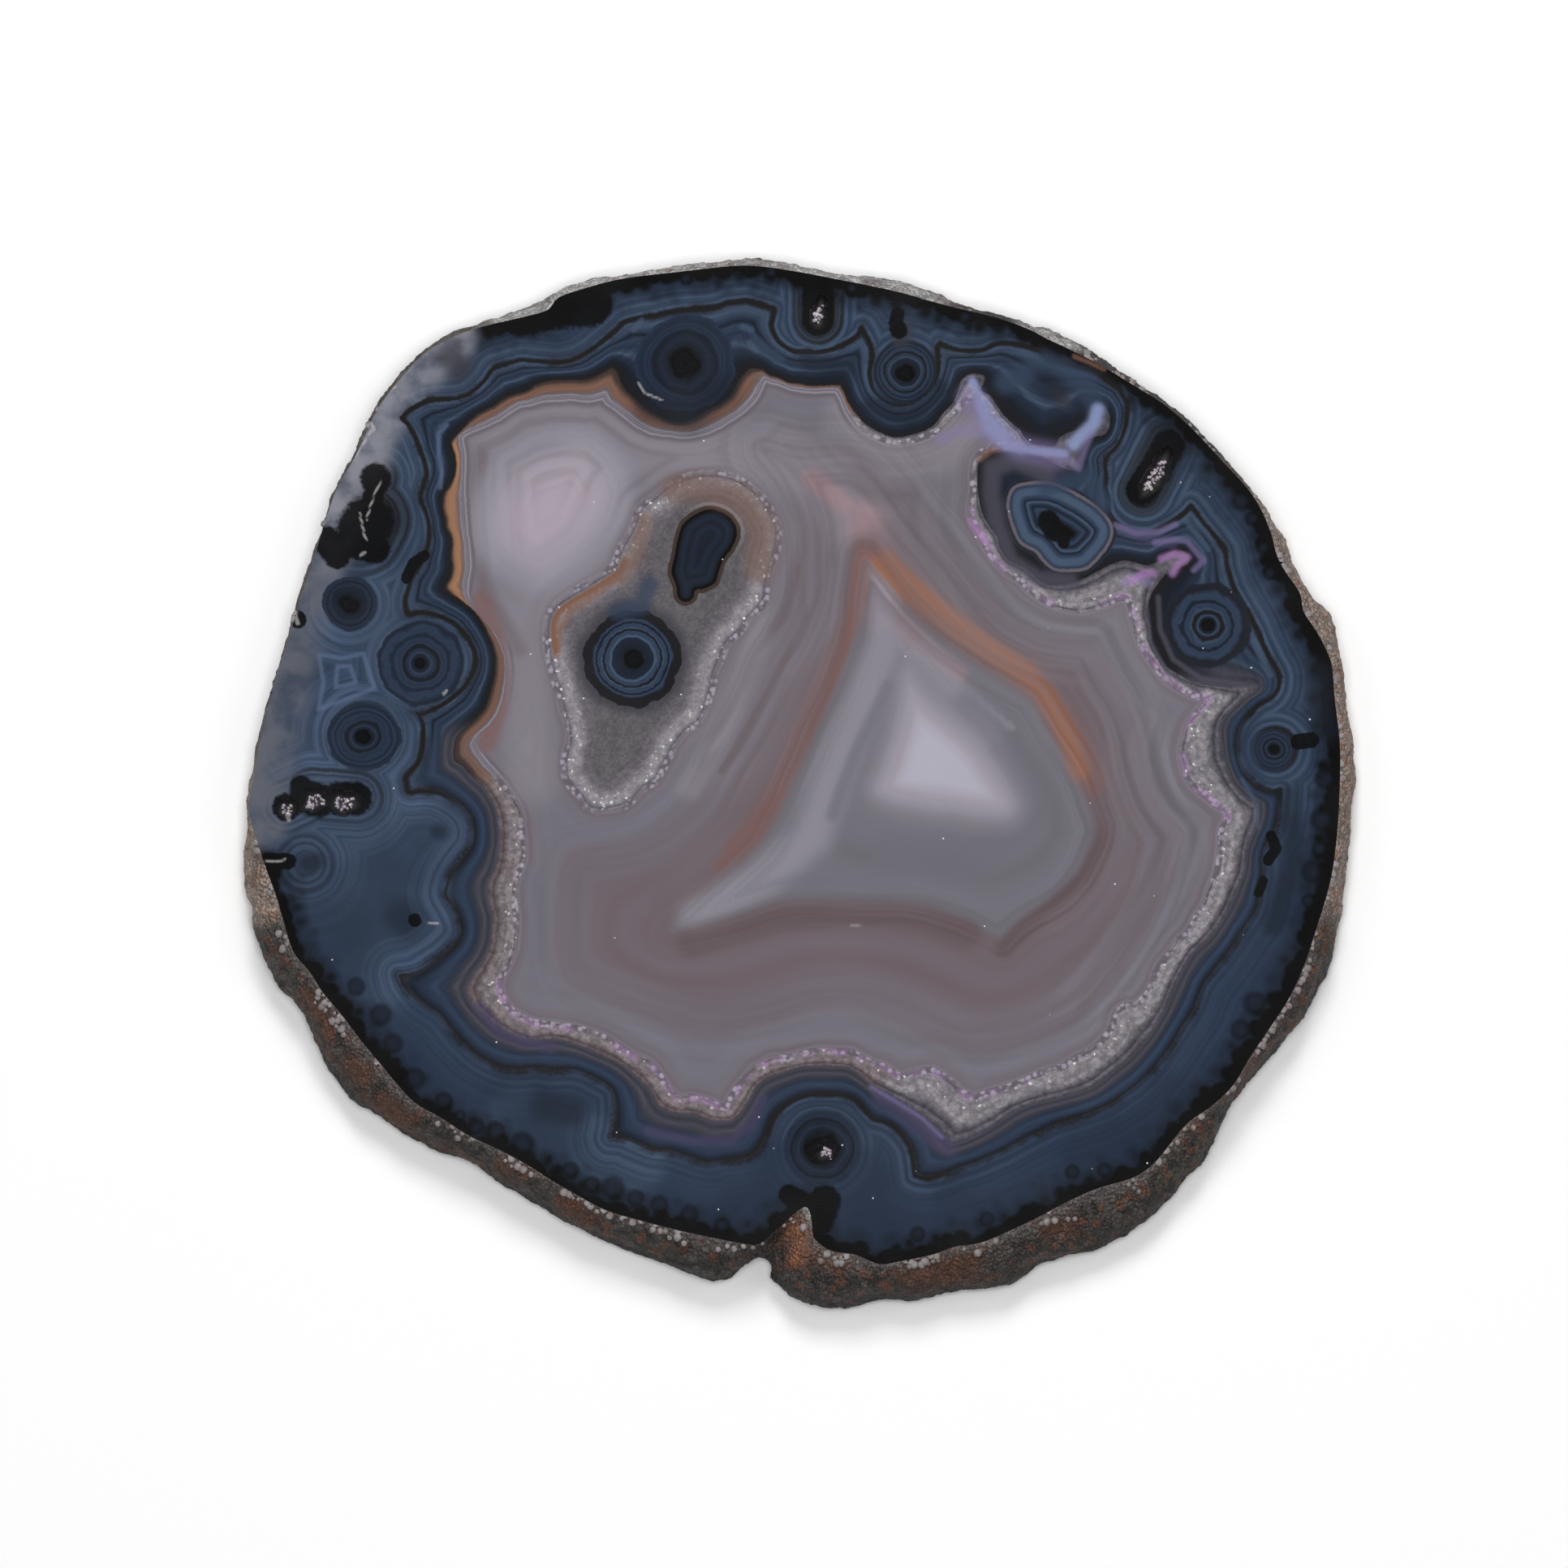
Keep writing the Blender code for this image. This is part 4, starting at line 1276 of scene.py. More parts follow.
def inner_lines(bench, colours, lines, groups, inner):
    """Thin warm and cool bands that follow the nearest traced line."""
    place = lines["place"]
    clear = bench.math("MULTIPLY_ADD", bench.field("lined_side"), 0.6, 0.4)
    near_mauve = bench.span(bench.math("ABSOLUTE", lines["mauve_edge"]), 6.0, 3.0)
    follows = (
        ("druse_edge", 0.55, 0.30, bench.span(lines["druse_edge"], 3.5, 1.0)),
        ("druse_edge", 1.5, 0.32, bench.span(lines["druse_edge"], 14.0, 4.0)),
        ("mauve_edge", 0.80, 0.30, near_mauve),
        ("grey_edge", 0.60, 0.30, bench.span(bench.math("ABSOLUTE", lines["grey_edge"]), 4.5, 1.5)),
        ("core_edge", 0.90, 0.16, bench.span(bench.math("ABSOLUTE", lines["core_edge"]), 6.0, 3.0)),
        ("lobe", 0.90, 0.10, bench.span(lines["lobe"], -2.0, 1.0)),
    )
    for name, pitch, strength, where in follows:
        where = bench.math("MULTIPLY", where, clear)
        thin = thin_lines(bench, groups, place, lines[name], pitch)
        darker = bench.math("MULTIPLY", bench.math("MULTIPLY", thin, strength), where)
        inner = bench.mix(darker, inner, colours["dim_rose"])
        thin = thin_lines(bench, groups, place, lines[name], pitch * 1.7)
        paler = bench.math("MULTIPLY", bench.math("MULTIPLY", thin, strength * 0.6), where)
        inner = bench.mix(paler, inner, colours["milk"])
    return inner


def island_bands(bench, colours, lines, groups, grit, colour):
    """The druse-edged island with its grey heart and its dark kidney."""
    island = lines["island"]
    body = stone_ramp(bench, island, colours, ISLAND_STOPS, 6.5)
    body = bench.mix(bench.math("MULTIPLY", grit["Shade"], 0.35), body, colours["line"])
    mottle = bench.span(bench.noise(lines["place"], 0.9, 4.0), 0.35, 0.65)
    body = bench.mix(bench.math("MULTIPLY", mottle, 0.25), body, colours["dusk"])
    upper = bench.math("MULTIPLY_ADD", bench.field("tan"), 0.85, 0.15)
    thin = thin_lines(bench, groups, lines["place"], island, 0.42)
    body = bench.mix(bench.math("MULTIPLY", bench.math("MULTIPLY", thin, upper), 0.38), body, colours["bark"])
    thin = thin_lines(bench, groups, lines["place"], island, 0.75)
    body = bench.mix(bench.math("MULTIPLY", bench.math("MULTIPLY", thin, upper), 0.35), body, colours["chalk"])
    # Painted glints on the island's crystals.
    glint = bench.math("MULTIPLY", grit["Glint"], bench.span(island, 2.4, 0.6))
    body = bench.mix(glint, body, colours["frost"])
    amber = bench.math("MULTIPLY", bench.span(island, 0.3, 0.7), bench.span(island, 1.9, 0.9))
    amber = bench.math("MULTIPLY", amber, bench.field("russet_side"))
    body = bench.mix(amber, body, colours["russet"])
    colour = bench.mix(bench.span(island, -0.05, 0.05), colour, body)
    colour = bead_row(bench, colours, lines["place"], island, 0.85, colour)
    kidney = lines["kidney"]
    ring = bench.math("MULTIPLY", bench.span(kidney, -1.1, -0.85), bench.field("tan"))
    colour = bench.mix(ring, colour, colours["chalk"])
    colour = bench.mix(bench.span(kidney, -0.6, -0.45), colour, colours["bark"])
    inside = stone_ramp(bench, kidney, colours, KIDNEY_STOPS, 4.0)
    colour = bench.mix(bench.span(kidney, -0.1, 0.0), colour, inside)
    halo = bench.math("ADD", lines["halo"], 1.0)
    rings = stone_ramp(bench, halo, colours, HALO_STOPS, 5.0)
    return bench.mix(bench.span(halo, 0.1, 0.4), colour, rings)


def eye_colours(bench, colours, place, colour):
    """The ringed eyes: black heart, dark pool, bright ring, blue rings, dark outer ring."""
    wobble = bench.math("SUBTRACT", bench.noise(place, 0.45, 2.0), 0.5)
    ring = bench.math("MULTIPLY_ADD", wobble, 1.7, bench.field("eye"))
    rings = stone_ramp(bench, ring, colours, EYE_STOPS, 9.3)
    dim = stone_ramp(bench, ring, colours, DIM_EYE_STOPS, 9.3)
    rings = bench.mix(bench.field("glow"), dim, rings)
    fine = bench.node("ShaderNodeTexNoise", noise_dimensions="1D")
    bench.feed(fine.inputs["W"], bench.math("MULTIPLY", ring, 3.5))
    bench.feed(fine.inputs["Scale"], 1.0)
    streak = bench.math("MULTIPLY", bench.span(fine.outputs[0], 0.45, 0.65), 0.25)
    rings = bench.mix(streak, rings, colours["night"])
    shade = bench.math("MULTIPLY", bench.span(ring, 11.0, 9.3), bench.span(bench.field("glow"), 0.8, 0.9))
    colour = bench.mix(bench.math("MULTIPLY", shade, 0.7), colour, colours["dusk"])
    return bench.mix(bench.span(ring, 9.25, 9.05), colour, rings)


# The skin, the sawn back, the crystals and the floor.


def rough_rind(colours, groups):
    """The nodule's skin: olive grit with rust patches, with painted light at the face and towards the back, and
    painted shade underneath.
    """
    material, bench, shader = new_material("rough_rind")
    place = bench.place()
    parts = bench.node("ShaderNodeSeparateXYZ")
    bench.feed(parts.inputs[0], place)
    height = parts.outputs[2]
    grit = bench.group(groups["stone_grit"], Place=place, Grain=0.45)
    lumps = bench.group(groups["stone_grit"], Place=place, Grain=1.1)
    fine = bench.noise(place, 1.6, 4.0)
    patch = bench.noise(place, 0.17, 3.0)
    colour = bench.mix(bench.span(fine, 0.35, 0.65), colours["bark"], colours["olive"])
    colour = bench.mix(bench.math("MULTIPLY", grit["Shade"], 0.35), colour, colours["shell"])
    colour = bench.mix(bench.math("MULTIPLY", lumps["Shade"], 0.7), colour, colours["bark_dark"])
    # Painted light: the skin is painted paler towards the back, where the key light falls.
    back = bench.span(parts.outputs[1], -50.0, 30.0)
    colour = bench.mix(bench.math("MULTIPLY", back, 0.25), colour, colours["shell"])
    stain = bench.span(bench.noise(place, 0.45, 3.0), 0.52, 0.60)
    colour = bench.mix(bench.math("MULTIPLY", stain, 0.6), colour, colours["bark_dark"])
    spots = bench.cells(bench.place(), 0.6)
    ragged = bench.math("MULTIPLY_ADD", fine, 0.35, spots.outputs["Distance"])
    spot = bench.span(ragged, 0.62, 0.54)
    chosen = bench.span(bench.noise(spots.outputs["Position"], 5.0, 0.0), 0.46, 0.50)
    rust = bench.math("MAXIMUM", bench.math("MULTIPLY", spot, chosen), bench.span(patch, 0.63, 0.66))
    rust = bench.math("MAXIMUM", rust, bench.field("rust"))
    rust = bench.math("MULTIPLY", rust, bench.math("MULTIPLY_ADD", lumps["Shade"], -0.25, 1.0))
    colour = bench.mix(rust, colour, colours["rust"])
    # Painted light: the skin is painted paler along its upper edge, where light falls on it.
    edge = bench.math("ADD", height, bench.math("MULTIPLY", fine, 1.6))
    colour = bench.mix(bench.math("MULTIPLY", bench.span(edge, 7.9, 8.9), 0.6), colour, colours["shell"])
    # Painted shade: the skin darkens towards its foot, where it turns under away from the light.
    low = bench.math("ADD", height, bench.math("MULTIPLY", patch, 3.0))
    colour = bench.mix(bench.span(low, 6.2, 4.4), colour, colours["bark_dark"])
    colour = bench.mix(bench.math("MULTIPLY", bench.field("ochre"), 0.8), colour, colours["amber"])
    uneven = bench.math("MULTIPLY_ADD", bench.noise(place, 0.35, 5.0), 3.0, -0.5)
    # The pinkish sides of the skin, on the right also painted light.
    pale = bench.span(bench.math("MULTIPLY", bench.field("pale"), uneven), 0.0, 0.75)
    cover = bench.math("MULTIPLY_ADD", lumps["Shade"], -0.4, 1.0)
    cover = bench.math("MULTIPLY", pale, cover)
    colour = bench.mix(cover, colour, colours["peach"])
    warm = bench.math("MULTIPLY", bench.math("MULTIPLY", rust, pale), 0.5)
    colour = bench.mix(warm, colour, colours["amber"])
    # Painted shade where the shaded marks lie.
    shaded = bench.span(bench.math("MULTIPLY", bench.field("shaded"), uneven), 0.0, 1.1)
    colour = bench.mix(bench.math("MULTIPLY", shaded, 0.65), colour, colours["bark_dark"])
    # Partly the skin's own white, partly painted back light glowing along its top edge.
    frosty = bench.span(bench.math("MULTIPLY", bench.field("frosty"), uneven), 0.0, 1.1)
    upper = bench.span(bench.math("MULTIPLY_ADD", fine, 4.0, height), 5.2, 8.6)
    frosty = bench.math("MULTIPLY", bench.math("MULTIPLY", frosty, upper), 0.8)
    colour = bench.mix(frosty, colour, colours["frost"])
    # Painted shade in the crevices between the grains and lumps.
    pits = bench.math("MAXIMUM", bench.span(grit["Edge"], 0.5, 1.0), bench.span(lumps["Edge"], 0.5, 1.0))
    colour = bench.mix(bench.math("MULTIPLY", pits, 0.5), colour, colours["bark_dark"])
    bench.feed(shader.inputs["Base Color"], colour)
    bench.feed(shader.inputs["Roughness"], bench.math("ADD", bench.math("MULTIPLY", fine, 0.3), 0.55))
    rise = bench.math("SUBTRACT", bench.math("MULTIPLY", fine, 0.6), grit["Edge"])
    bench.feed(shader.inputs["Normal"], bench.bump(rise, 0.9, 0.3))
    return material


def sawn_back(colours, groups):
    """The unpolished underside: the same stone, grey from the saw, with faint cut marks."""
    material, bench, shader = new_material("sawn_back")
    place = bench.place()
    parts = bench.node("ShaderNodeSeparateXYZ")
    bench.feed(parts.inputs[0], place)
    cloud = bench.noise(place, 0.05, 3.0)
    saw = bench.noise(bench.math("MULTIPLY", parts.outputs[0], 1.3), 1.0, 2.0)
    colour = bench.mix(bench.span(cloud, 0.35, 0.65), colours["dusk"], colours["fog"])
    colour = bench.mix(bench.math("MULTIPLY", saw, 0.25), colour, colours["ash"])
    bench.feed(shader.inputs["Base Color"], colour)
    bench.feed(shader.inputs["Roughness"], bench.math("ADD", bench.math("MULTIPLY", saw, 0.2), 0.55))
    bench.feed(shader.inputs["Normal"], bench.bump(saw, 0.2, 0.1))
    return material


def crystal_quartz(colours, groups):
    """Small clear and rosy quartz points in the vugs."""
    material, bench, shader = new_material("vug_quartz")
    place = bench.place()
    grit = bench.group(groups["stone_grit"], Place=place, Grain=0.6)
    colour = bench.mix(bench.math("MULTIPLY", grit["Shade"], 0.6), colours["frost"], colours["rose"])
    bench.feed(shader.inputs["Base Color"], colour)
    bench.feed(shader.inputs["Roughness"], bench.math("ADD", bench.math("MULTIPLY", grit["Shade"], 0.2), 0.12))
    shader.inputs["Coat Weight"].default_value = 0.5
    return material


def grain_stone(colours, groups):
    """The pale grains along the edge of the skin."""
    material, bench, shader = new_material("skin_grain")
    place = bench.place()
    tone = bench.noise(place, 0.45, 2.0)
    fine = bench.noise(place, 3.5, 3.0)
    colour = bench.mix(bench.span(tone, 0.38, 0.62), colours["shell"], colours["chalk"])
    colour = bench.mix(bench.math("MULTIPLY", bench.span(tone, 0.56, 0.66), 0.6), colour, colours["rust"])
    colour = bench.mix(bench.math("MULTIPLY", fine, 0.3), colour, colours["bark"])
    bench.feed(shader.inputs["Base Color"], colour)
    bench.feed(shader.inputs["Roughness"], bench.math("ADD", bench.math("MULTIPLY", fine, 0.3), 0.45))
    bench.feed(shader.inputs["Normal"], bench.bump(fine, 0.5, 0.1))
    return material


def pale_floor(colour):
    """The studio's plain floor."""
    material, bench, shader = new_material("studio_floor")
    shader.inputs["Base Color"].default_value = (*colour, 1.0)
    shader.inputs["Roughness"].default_value = 0.9
    shader.inputs["Specular IOR Level"].default_value = 0.1
    return material


# Geometry Nodes: quartz points and skin grains.


def scatter_tree(name, form):
    """A tree that scatters one form over the marked faces of a mesh."""
    tree = bpy.data.node_groups.new(name, "GeometryNodeTree")
    face = tree.interface
    face.new_socket("Geometry", in_out="INPUT", socket_type="NodeSocketGeometry")
    for label in ("Density", "Spacing", "Smallest", "Largest", "Flatness"):
        face.new_socket(label, in_out="INPUT", socket_type="NodeSocketFloat")
    face.new_socket("Seed", in_out="INPUT", socket_type="NodeSocketInt")
    face.new_socket("Material", in_out="INPUT", socket_type="NodeSocketMaterial")
    face.new_socket("Geometry", in_out="OUTPUT", socket_type="NodeSocketGeometry")
    bench = Bench(tree)
    given = bench.node("NodeGroupInput").outputs
    marked = bench.node("GeometryNodeInputNamedAttribute", data_type="FLOAT")
    marked.inputs["Name"].default_value = "room"
    spread = bench.node("GeometryNodeDistributePointsOnFaces", distribute_method="POISSON")
    bench.feed(spread.inputs["Mesh"], given["Geometry"])
    bench.feed(spread.inputs["Distance Min"], given["Spacing"])
    bench.feed(spread.inputs["Density Max"], given["Density"])
    bench.feed(spread.inputs["Density Factor"], marked.outputs["Attribute"])
    bench.feed(spread.inputs["Seed"], given["Seed"])
    size = bench.node("FunctionNodeRandomValue", data_type="FLOAT")
    bench.feed(size.inputs[2], given["Smallest"])
    bench.feed(size.inputs[3], given["Largest"])
    bench.feed(size.inputs["Seed"], given["Seed"])
    tall = bench.node("ShaderNodeCombineXYZ")
    bench.feed(tall.inputs[0], size.outputs[1])
    bench.feed(tall.inputs[1], size.outputs[1])
    bench.feed(tall.inputs[2], bench.math("MULTIPLY", size.outputs[1], given["Flatness"]))
    tilt = bench.node("FunctionNodeRandomValue", data_type="FLOAT_VECTOR")
    tilt.inputs[0].default_value = (-TILT, -TILT, -math.pi)
    tilt.inputs[1].default_value = (TILT, TILT, math.pi)
    bench.feed(tilt.inputs["Seed"], given["Seed"])
    turn = bench.node("FunctionNodeRotateRotation", rotation_space="LOCAL")
    bench.feed(turn.inputs[0], spread.outputs["Rotation"])
    bench.feed(turn.inputs[1], tilt.outputs[0])
    put = bench.node("GeometryNodeInstanceOnPoints")
    bench.feed(put.inputs["Points"], spread.outputs["Points"])
    bench.feed(put.inputs["Instance"], form(bench))
    bench.feed(put.inputs["Rotation"], turn.outputs[0])
    bench.feed(put.inputs["Scale"], tall.outputs[0])
    real = bench.node("GeometryNodeRealizeInstances")
    bench.feed(real.inputs[0], put.outputs[0])
    finish = bench.node("GeometryNodeSetMaterial")
    bench.feed(finish.inputs["Geometry"], real.outputs[0])
    bench.feed(finish.inputs["Material"], given["Material"])
    made = bench.node("NodeGroupOutput").inputs
    bench.feed(made["Geometry"], finish.outputs[0])
    return tree


def quartz_point(bench):
    """A six-sided point, one metre across before it is scaled, with its foot below the surface."""
    shaft = bench.node("GeometryNodeMeshCone")
    shaft.inputs["Vertices"].default_value = 6
    shaft.inputs["Radius Top"].default_value = 0.42
    shaft.inputs["Radius Bottom"].default_value = 0.5
    shaft.inputs["Depth"].default_value = 0.8
    tip = bench.node("GeometryNodeMeshCone")
    tip.inputs["Vertices"].default_value = 6
    tip.inputs["Radius Top"].default_value = 0.0
    tip.inputs["Radius Bottom"].default_value = 0.42
    tip.inputs["Depth"].default_value = 0.45
    raised = bench.node("GeometryNodeTransform")
    raised.inputs["Translation"].default_value = (0.0, 0.0, 0.8)
    bench.feed(raised.inputs["Geometry"], tip.outputs["Mesh"])
    both = bench.node("GeometryNodeJoinGeometry")
    bench.feed(both.inputs[0], raised.outputs[0])
    bench.feed(both.inputs[0], shaft.outputs["Mesh"])
    weld = bench.node("GeometryNodeMergeByDistance")
    weld.inputs["Distance"].default_value = 0.001
    bench.feed(weld.inputs["Geometry"], both.outputs[0])
    return weld.outputs[0]


def round_grain(bench):
    """A rounded lump, one metre across before it is scaled."""
    ball = bench.node("GeometryNodeMeshIcoSphere")
    ball.inputs["Radius"].default_value = 0.5
    ball.inputs["Subdivisions"].default_value = 2
    dent = bench.node("GeometryNodeSetPosition")
    bench.feed(dent.inputs["Geometry"], ball.outputs["Mesh"])
    rough = bench.node("ShaderNodeTexNoise")
    rough.inputs["Scale"].default_value = 2.2
    shift = bench.node("ShaderNodeVectorMath", operation="SUBTRACT")
    bench.feed(shift.inputs[0], rough.outputs["Color"])
    shift.inputs[1].default_value = (0.5, 0.5, 0.5)
    less = bench.node("ShaderNodeVectorMath", operation="SCALE")
    bench.feed(less.inputs[0], shift.outputs[0])
    less.inputs["Scale"].default_value = 0.45
    bench.feed(dent.inputs["Offset"], less.outputs[0])
    soft = bench.node("GeometryNodeSetShadeSmooth")
    bench.feed(soft.inputs["Geometry"], dent.outputs[0])
    return soft.outputs[0]


def scatter(name, base, tree, values, material):
    """Runs a scatter tree on a base mesh and keeps the result as a plain mesh of its own."""
    holder = bpy.data.objects.new(name + "_base", base)
    bpy.context.scene.collection.objects.link(holder)
    spread = holder.modifiers.new("scatter", "NODES")
    spread.node_group = tree
    for item in tree.interface.items_tree:
        if item.in_out == "INPUT" and item.name in values:
            spread[item.identifier] = values[item.name]
        if item.in_out == "INPUT" and item.name == "Material":
            spread[item.identifier] = material
    data = plain_mesh(holder)
    data.name = name
    return data


# Properties.


def stone_colour(label, description, code):
    """A colour that a user can change."""
    return bpy.props.FloatVectorProperty(
        name=label,
        description=description,
        subtype="COLOR",
        size=3,
        min=0.0,
        max=1.0,
        default=linear(code),
    )


class AgateColours(bpy.types.PropertyGroup):
    soot: stone_colour("Soot", "Black border and the hearts of the eyes", "#070708")
    line: stone_colour("Line", "Brown-black thin lines", "#1c1a1b")
    night: stone_colour("Night", "Darkest blue", "#171d27")
    pool: stone_colour("Pool", "Dark blue pool of an eye", "#1e2737")
    deep: stone_colour("Deep blue", "Broad outer band", "#263246")
    blue: stone_colour("Blue", "Blue bands", "#313f55")
    mist: stone_colour("Mist", "Palest blue lines", "#586a86")
    haze: stone_colour("Haze", "Thin pale blue lines", "#435369")
    sky: stone_colour("Sky", "Pale blue tongue", "#8c9ac4")
    plum: stone_colour("Plum", "Violet-grey outside the crust", "#4a4955")
    dusk: stone_colour("Dusk", "Violet-grey inside the blue", "#36363e")
    violet: stone_colour("Violet", "Violet tint in the lower bands", "#46405f")
    smoke: stone_colour("Smoke", "Clear grey margin", "#5f626c")
    pale_smoke: stone_colour("Pale smoke", "Clear grey margin at the upper left", "#888993")
    dim_rose: stone_colour("Dim rose", "Darker thin bands of the pale middle", "#5f555a")
    bark: stone_colour("Bark", "Dark brown fringe", "#3d322e")
    # Dark bark is also painted shade: under the skin, in its gaps and on its shaded marks.
    bark_dark: stone_colour("Dark bark", "Underside of the skin", "#14110f")
    tan: stone_colour("Tan", "Orange-tan fringe", "#745c53")
    # On the skin, shell is also painted light: along its upper edge and towards the back.
    shell: stone_colour("Shell", "Pale lines and grains", "#7e7775")
    chalk: stone_colour("Chalk", "Palest thin lines", "#9c9698")
    gravel: stone_colour("Gravel", "Grey heart of the island", "#69656a")
    druse_dark: stone_colour("Dark druse", "Crust of crystals, outer part", "#77727a")
    druse: stone_colour("Druse", "Crust of crystals", "#a19ca2")
    bubble: stone_colour("Bubble", "Violet-white beads of the crust", "#8c8893")
    bead: stone_colour("Bead", "Lit tops of the beads", "#a29ca9")
    # Shadow also paints the shade round each bead.
    shadow: stone_colour("Shadow", "Thin dark line inside the crust", "#615b63")
    lavender: stone_colour("Lavender", "Grey zone inside the crust", "#716e78")
    fog: stone_colour("Fog", "Cool grey zone", "#706f78")
    ash: stone_colour("Ash", "Darker grey zone", "#6b6970")
    slate: stone_colour("Slate", "Blue-grey shade in the grey zone", "#6c6b75")
    lifted: stone_colour("Lifted", "Paler upper left of the face", "#858089")
    pale_rose: stone_colour("Pale rose", "Lobe's paler ring", "#a099a4")
    blush: stone_colour("Blush", "Pinkish lobe", "#aca1ad")
    rosewood: stone_colour("Rosewood", "Warm thin bands", "#6b5f64")
    mauve: stone_colour("Mauve", "Mauve bands", "#6e656d")
    flesh: stone_colour("Flesh", "Pinkish tip of the grey zone", "#9c8086")
    umber: stone_colour("Umber", "Brown streaks", "#5d4d4f")
    ember: stone_colour("Ember", "Red-brown streaks", "#7a5650")
    amber: stone_colour("Amber", "Orange streaks", "#9a6444")
    apricot: stone_colour("Apricot", "Orange part of the tan fringe", "#a87b5d")
    russet: stone_colour("Russet", "Red-brown part of the tan fringe", "#7d5b4b")
    # Peach is the skin's pinkish side, and on the right side also painted light.
    peach: stone_colour("Peach", "Pinkish side of the skin", "#b09c90")
    lilac: stone_colour("Lilac", "Lilac bands", "#8478a6")
    rose: stone_colour("Rose", "Pink marks", "#ad7fba")
    milk: stone_colour("Milk", "Whitish shade", "#928f9a")
    white: stone_colour("White", "Core", "#b0aebb")
    # Frost also paints the glints of the crust and the island.
    frost: stone_colour("Frost", "White crystals and specks", "#dcdad8")
    olive: stone_colour("Olive", "Skin", "#4f4a44")
    rust: stone_colour("Rust", "Red-brown patches of the skin", "#67402e")


class FaceSizes(bpy.types.PropertyGroup):
    fine_step: bpy.props.FloatProperty(
        name="Fine step",
        description="Spacing of the face's mesh in the bands",
        default=0.36 * MM,
        min=0.2 * MM,
        unit="LENGTH",
    )
    broad_step: bpy.props.FloatProperty(
        name="Broad step",
        description="Spacing of the face's mesh in the pale middle",
        default=0.70 * MM,
        min=0.2 * MM,
        unit="LENGTH",
    )


class SkinSizes(bpy.types.PropertyGroup):
    roughness_depth: bpy.props.FloatProperty(
        name="Roughness depth",
        description="How far the skin's lumps and warts reach",
        default=0.55 * MM,
        min=0.0,
        unit="LENGTH",
    )
    detail: bpy.props.IntProperty(
        name="Detail",
        description="Levels of subdivision of the skin",
        default=2,
        min=1,
        max=3,
    )


class GrainSizes(bpy.types.PropertyGroup):
    spacing: bpy.props.FloatProperty(
        name="Spacing",
        description="Least distance between grains on the skin",
        default=0.55 * MM,
        min=0.2 * MM,
        unit="LENGTH",
    )
    smallest: bpy.props.FloatProperty(
        name="Smallest", description="Smallest grain", default=0.45 * MM, unit="LENGTH"
    )
    largest: bpy.props.FloatProperty(
        name="Largest", description="Largest grain", default=1.15 * MM, unit="LENGTH"
    )
    seed: bpy.props.IntProperty(name="Seed", description="Arrangement of the grains", default=7)


class CrystalSizes(bpy.types.PropertyGroup):
    spacing: bpy.props.FloatProperty(
        name="Spacing",
        description="Least distance between quartz points",
        default=0.30 * MM,
        min=0.1 * MM,
        unit="LENGTH",
    )
    smallest: bpy.props.FloatProperty(
        name="Smallest", description="Width of the smallest point", default=0.22 * MM, unit="LENGTH"
    )
    largest: bpy.props.FloatProperty(
        name="Largest", description="Width of the largest point", default=0.55 * MM, unit="LENGTH"
    )
    seed: bpy.props.IntProperty(name="Seed", description="Arrangement of the points", default=3)


class StudioSettings(bpy.types.PropertyGroup):
    floor: stone_colour("Floor", "The plain floor", "#fefefe")
    key_power: bpy.props.FloatProperty(
        name="Key light", description="Power of the light at the back", default=9.0, unit="POWER"
    )
    fill_power: bpy.props.FloatProperty(
        name="Fill light", description="Power of the light overhead", default=9.9, unit="POWER"
    )
    side_power: bpy.props.FloatProperty(
        name="Side light", description="Power of each light at the sides", default=1.7, unit="POWER"
    )
    lens: bpy.props.FloatProperty(
        name="Lens", description="Focal length of the camera", default=500.0, unit="CAMERA"
    )


# Operators.


def shared_groups():
    """The shader groups, built once."""
    builders = {"stone_grit": grit_group, "thin_bands": banding_group}
    return {
        name: bpy.data.node_groups[name] if name in bpy.data.node_groups else build()
        for name, build in builders.items()
    }


def shared_colours(scene):
    """The stone's colours by name."""
    settings = scene.agate_colours
    return {name: tuple(getattr(settings, name)) for name in AgateColours.__annotations__}


def new_piece(name, data):
    """A finished piece at the origin that rides on the slab's body."""
    piece = bpy.data.objects.new(name, data)
    bpy.context.scene.collection.objects.link(piece)
    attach(piece, BODY)
    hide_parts(NODE)
    return piece


def keep_field(data, name, values):
    """Stores a value for each vertex."""
    field = data.attributes.new(name, "FLOAT", "POINT")
    field.data.foreach_set("value", np.asarray(values, np.float32))


def vertex_places(data):
    """The vertices of a mesh in millimetres."""
    places = np.zeros(len(data.vertices) * 3, np.float32)
    data.vertices.foreach_get("co", places)
    return places.reshape(-1, 3).astype(float) / MM


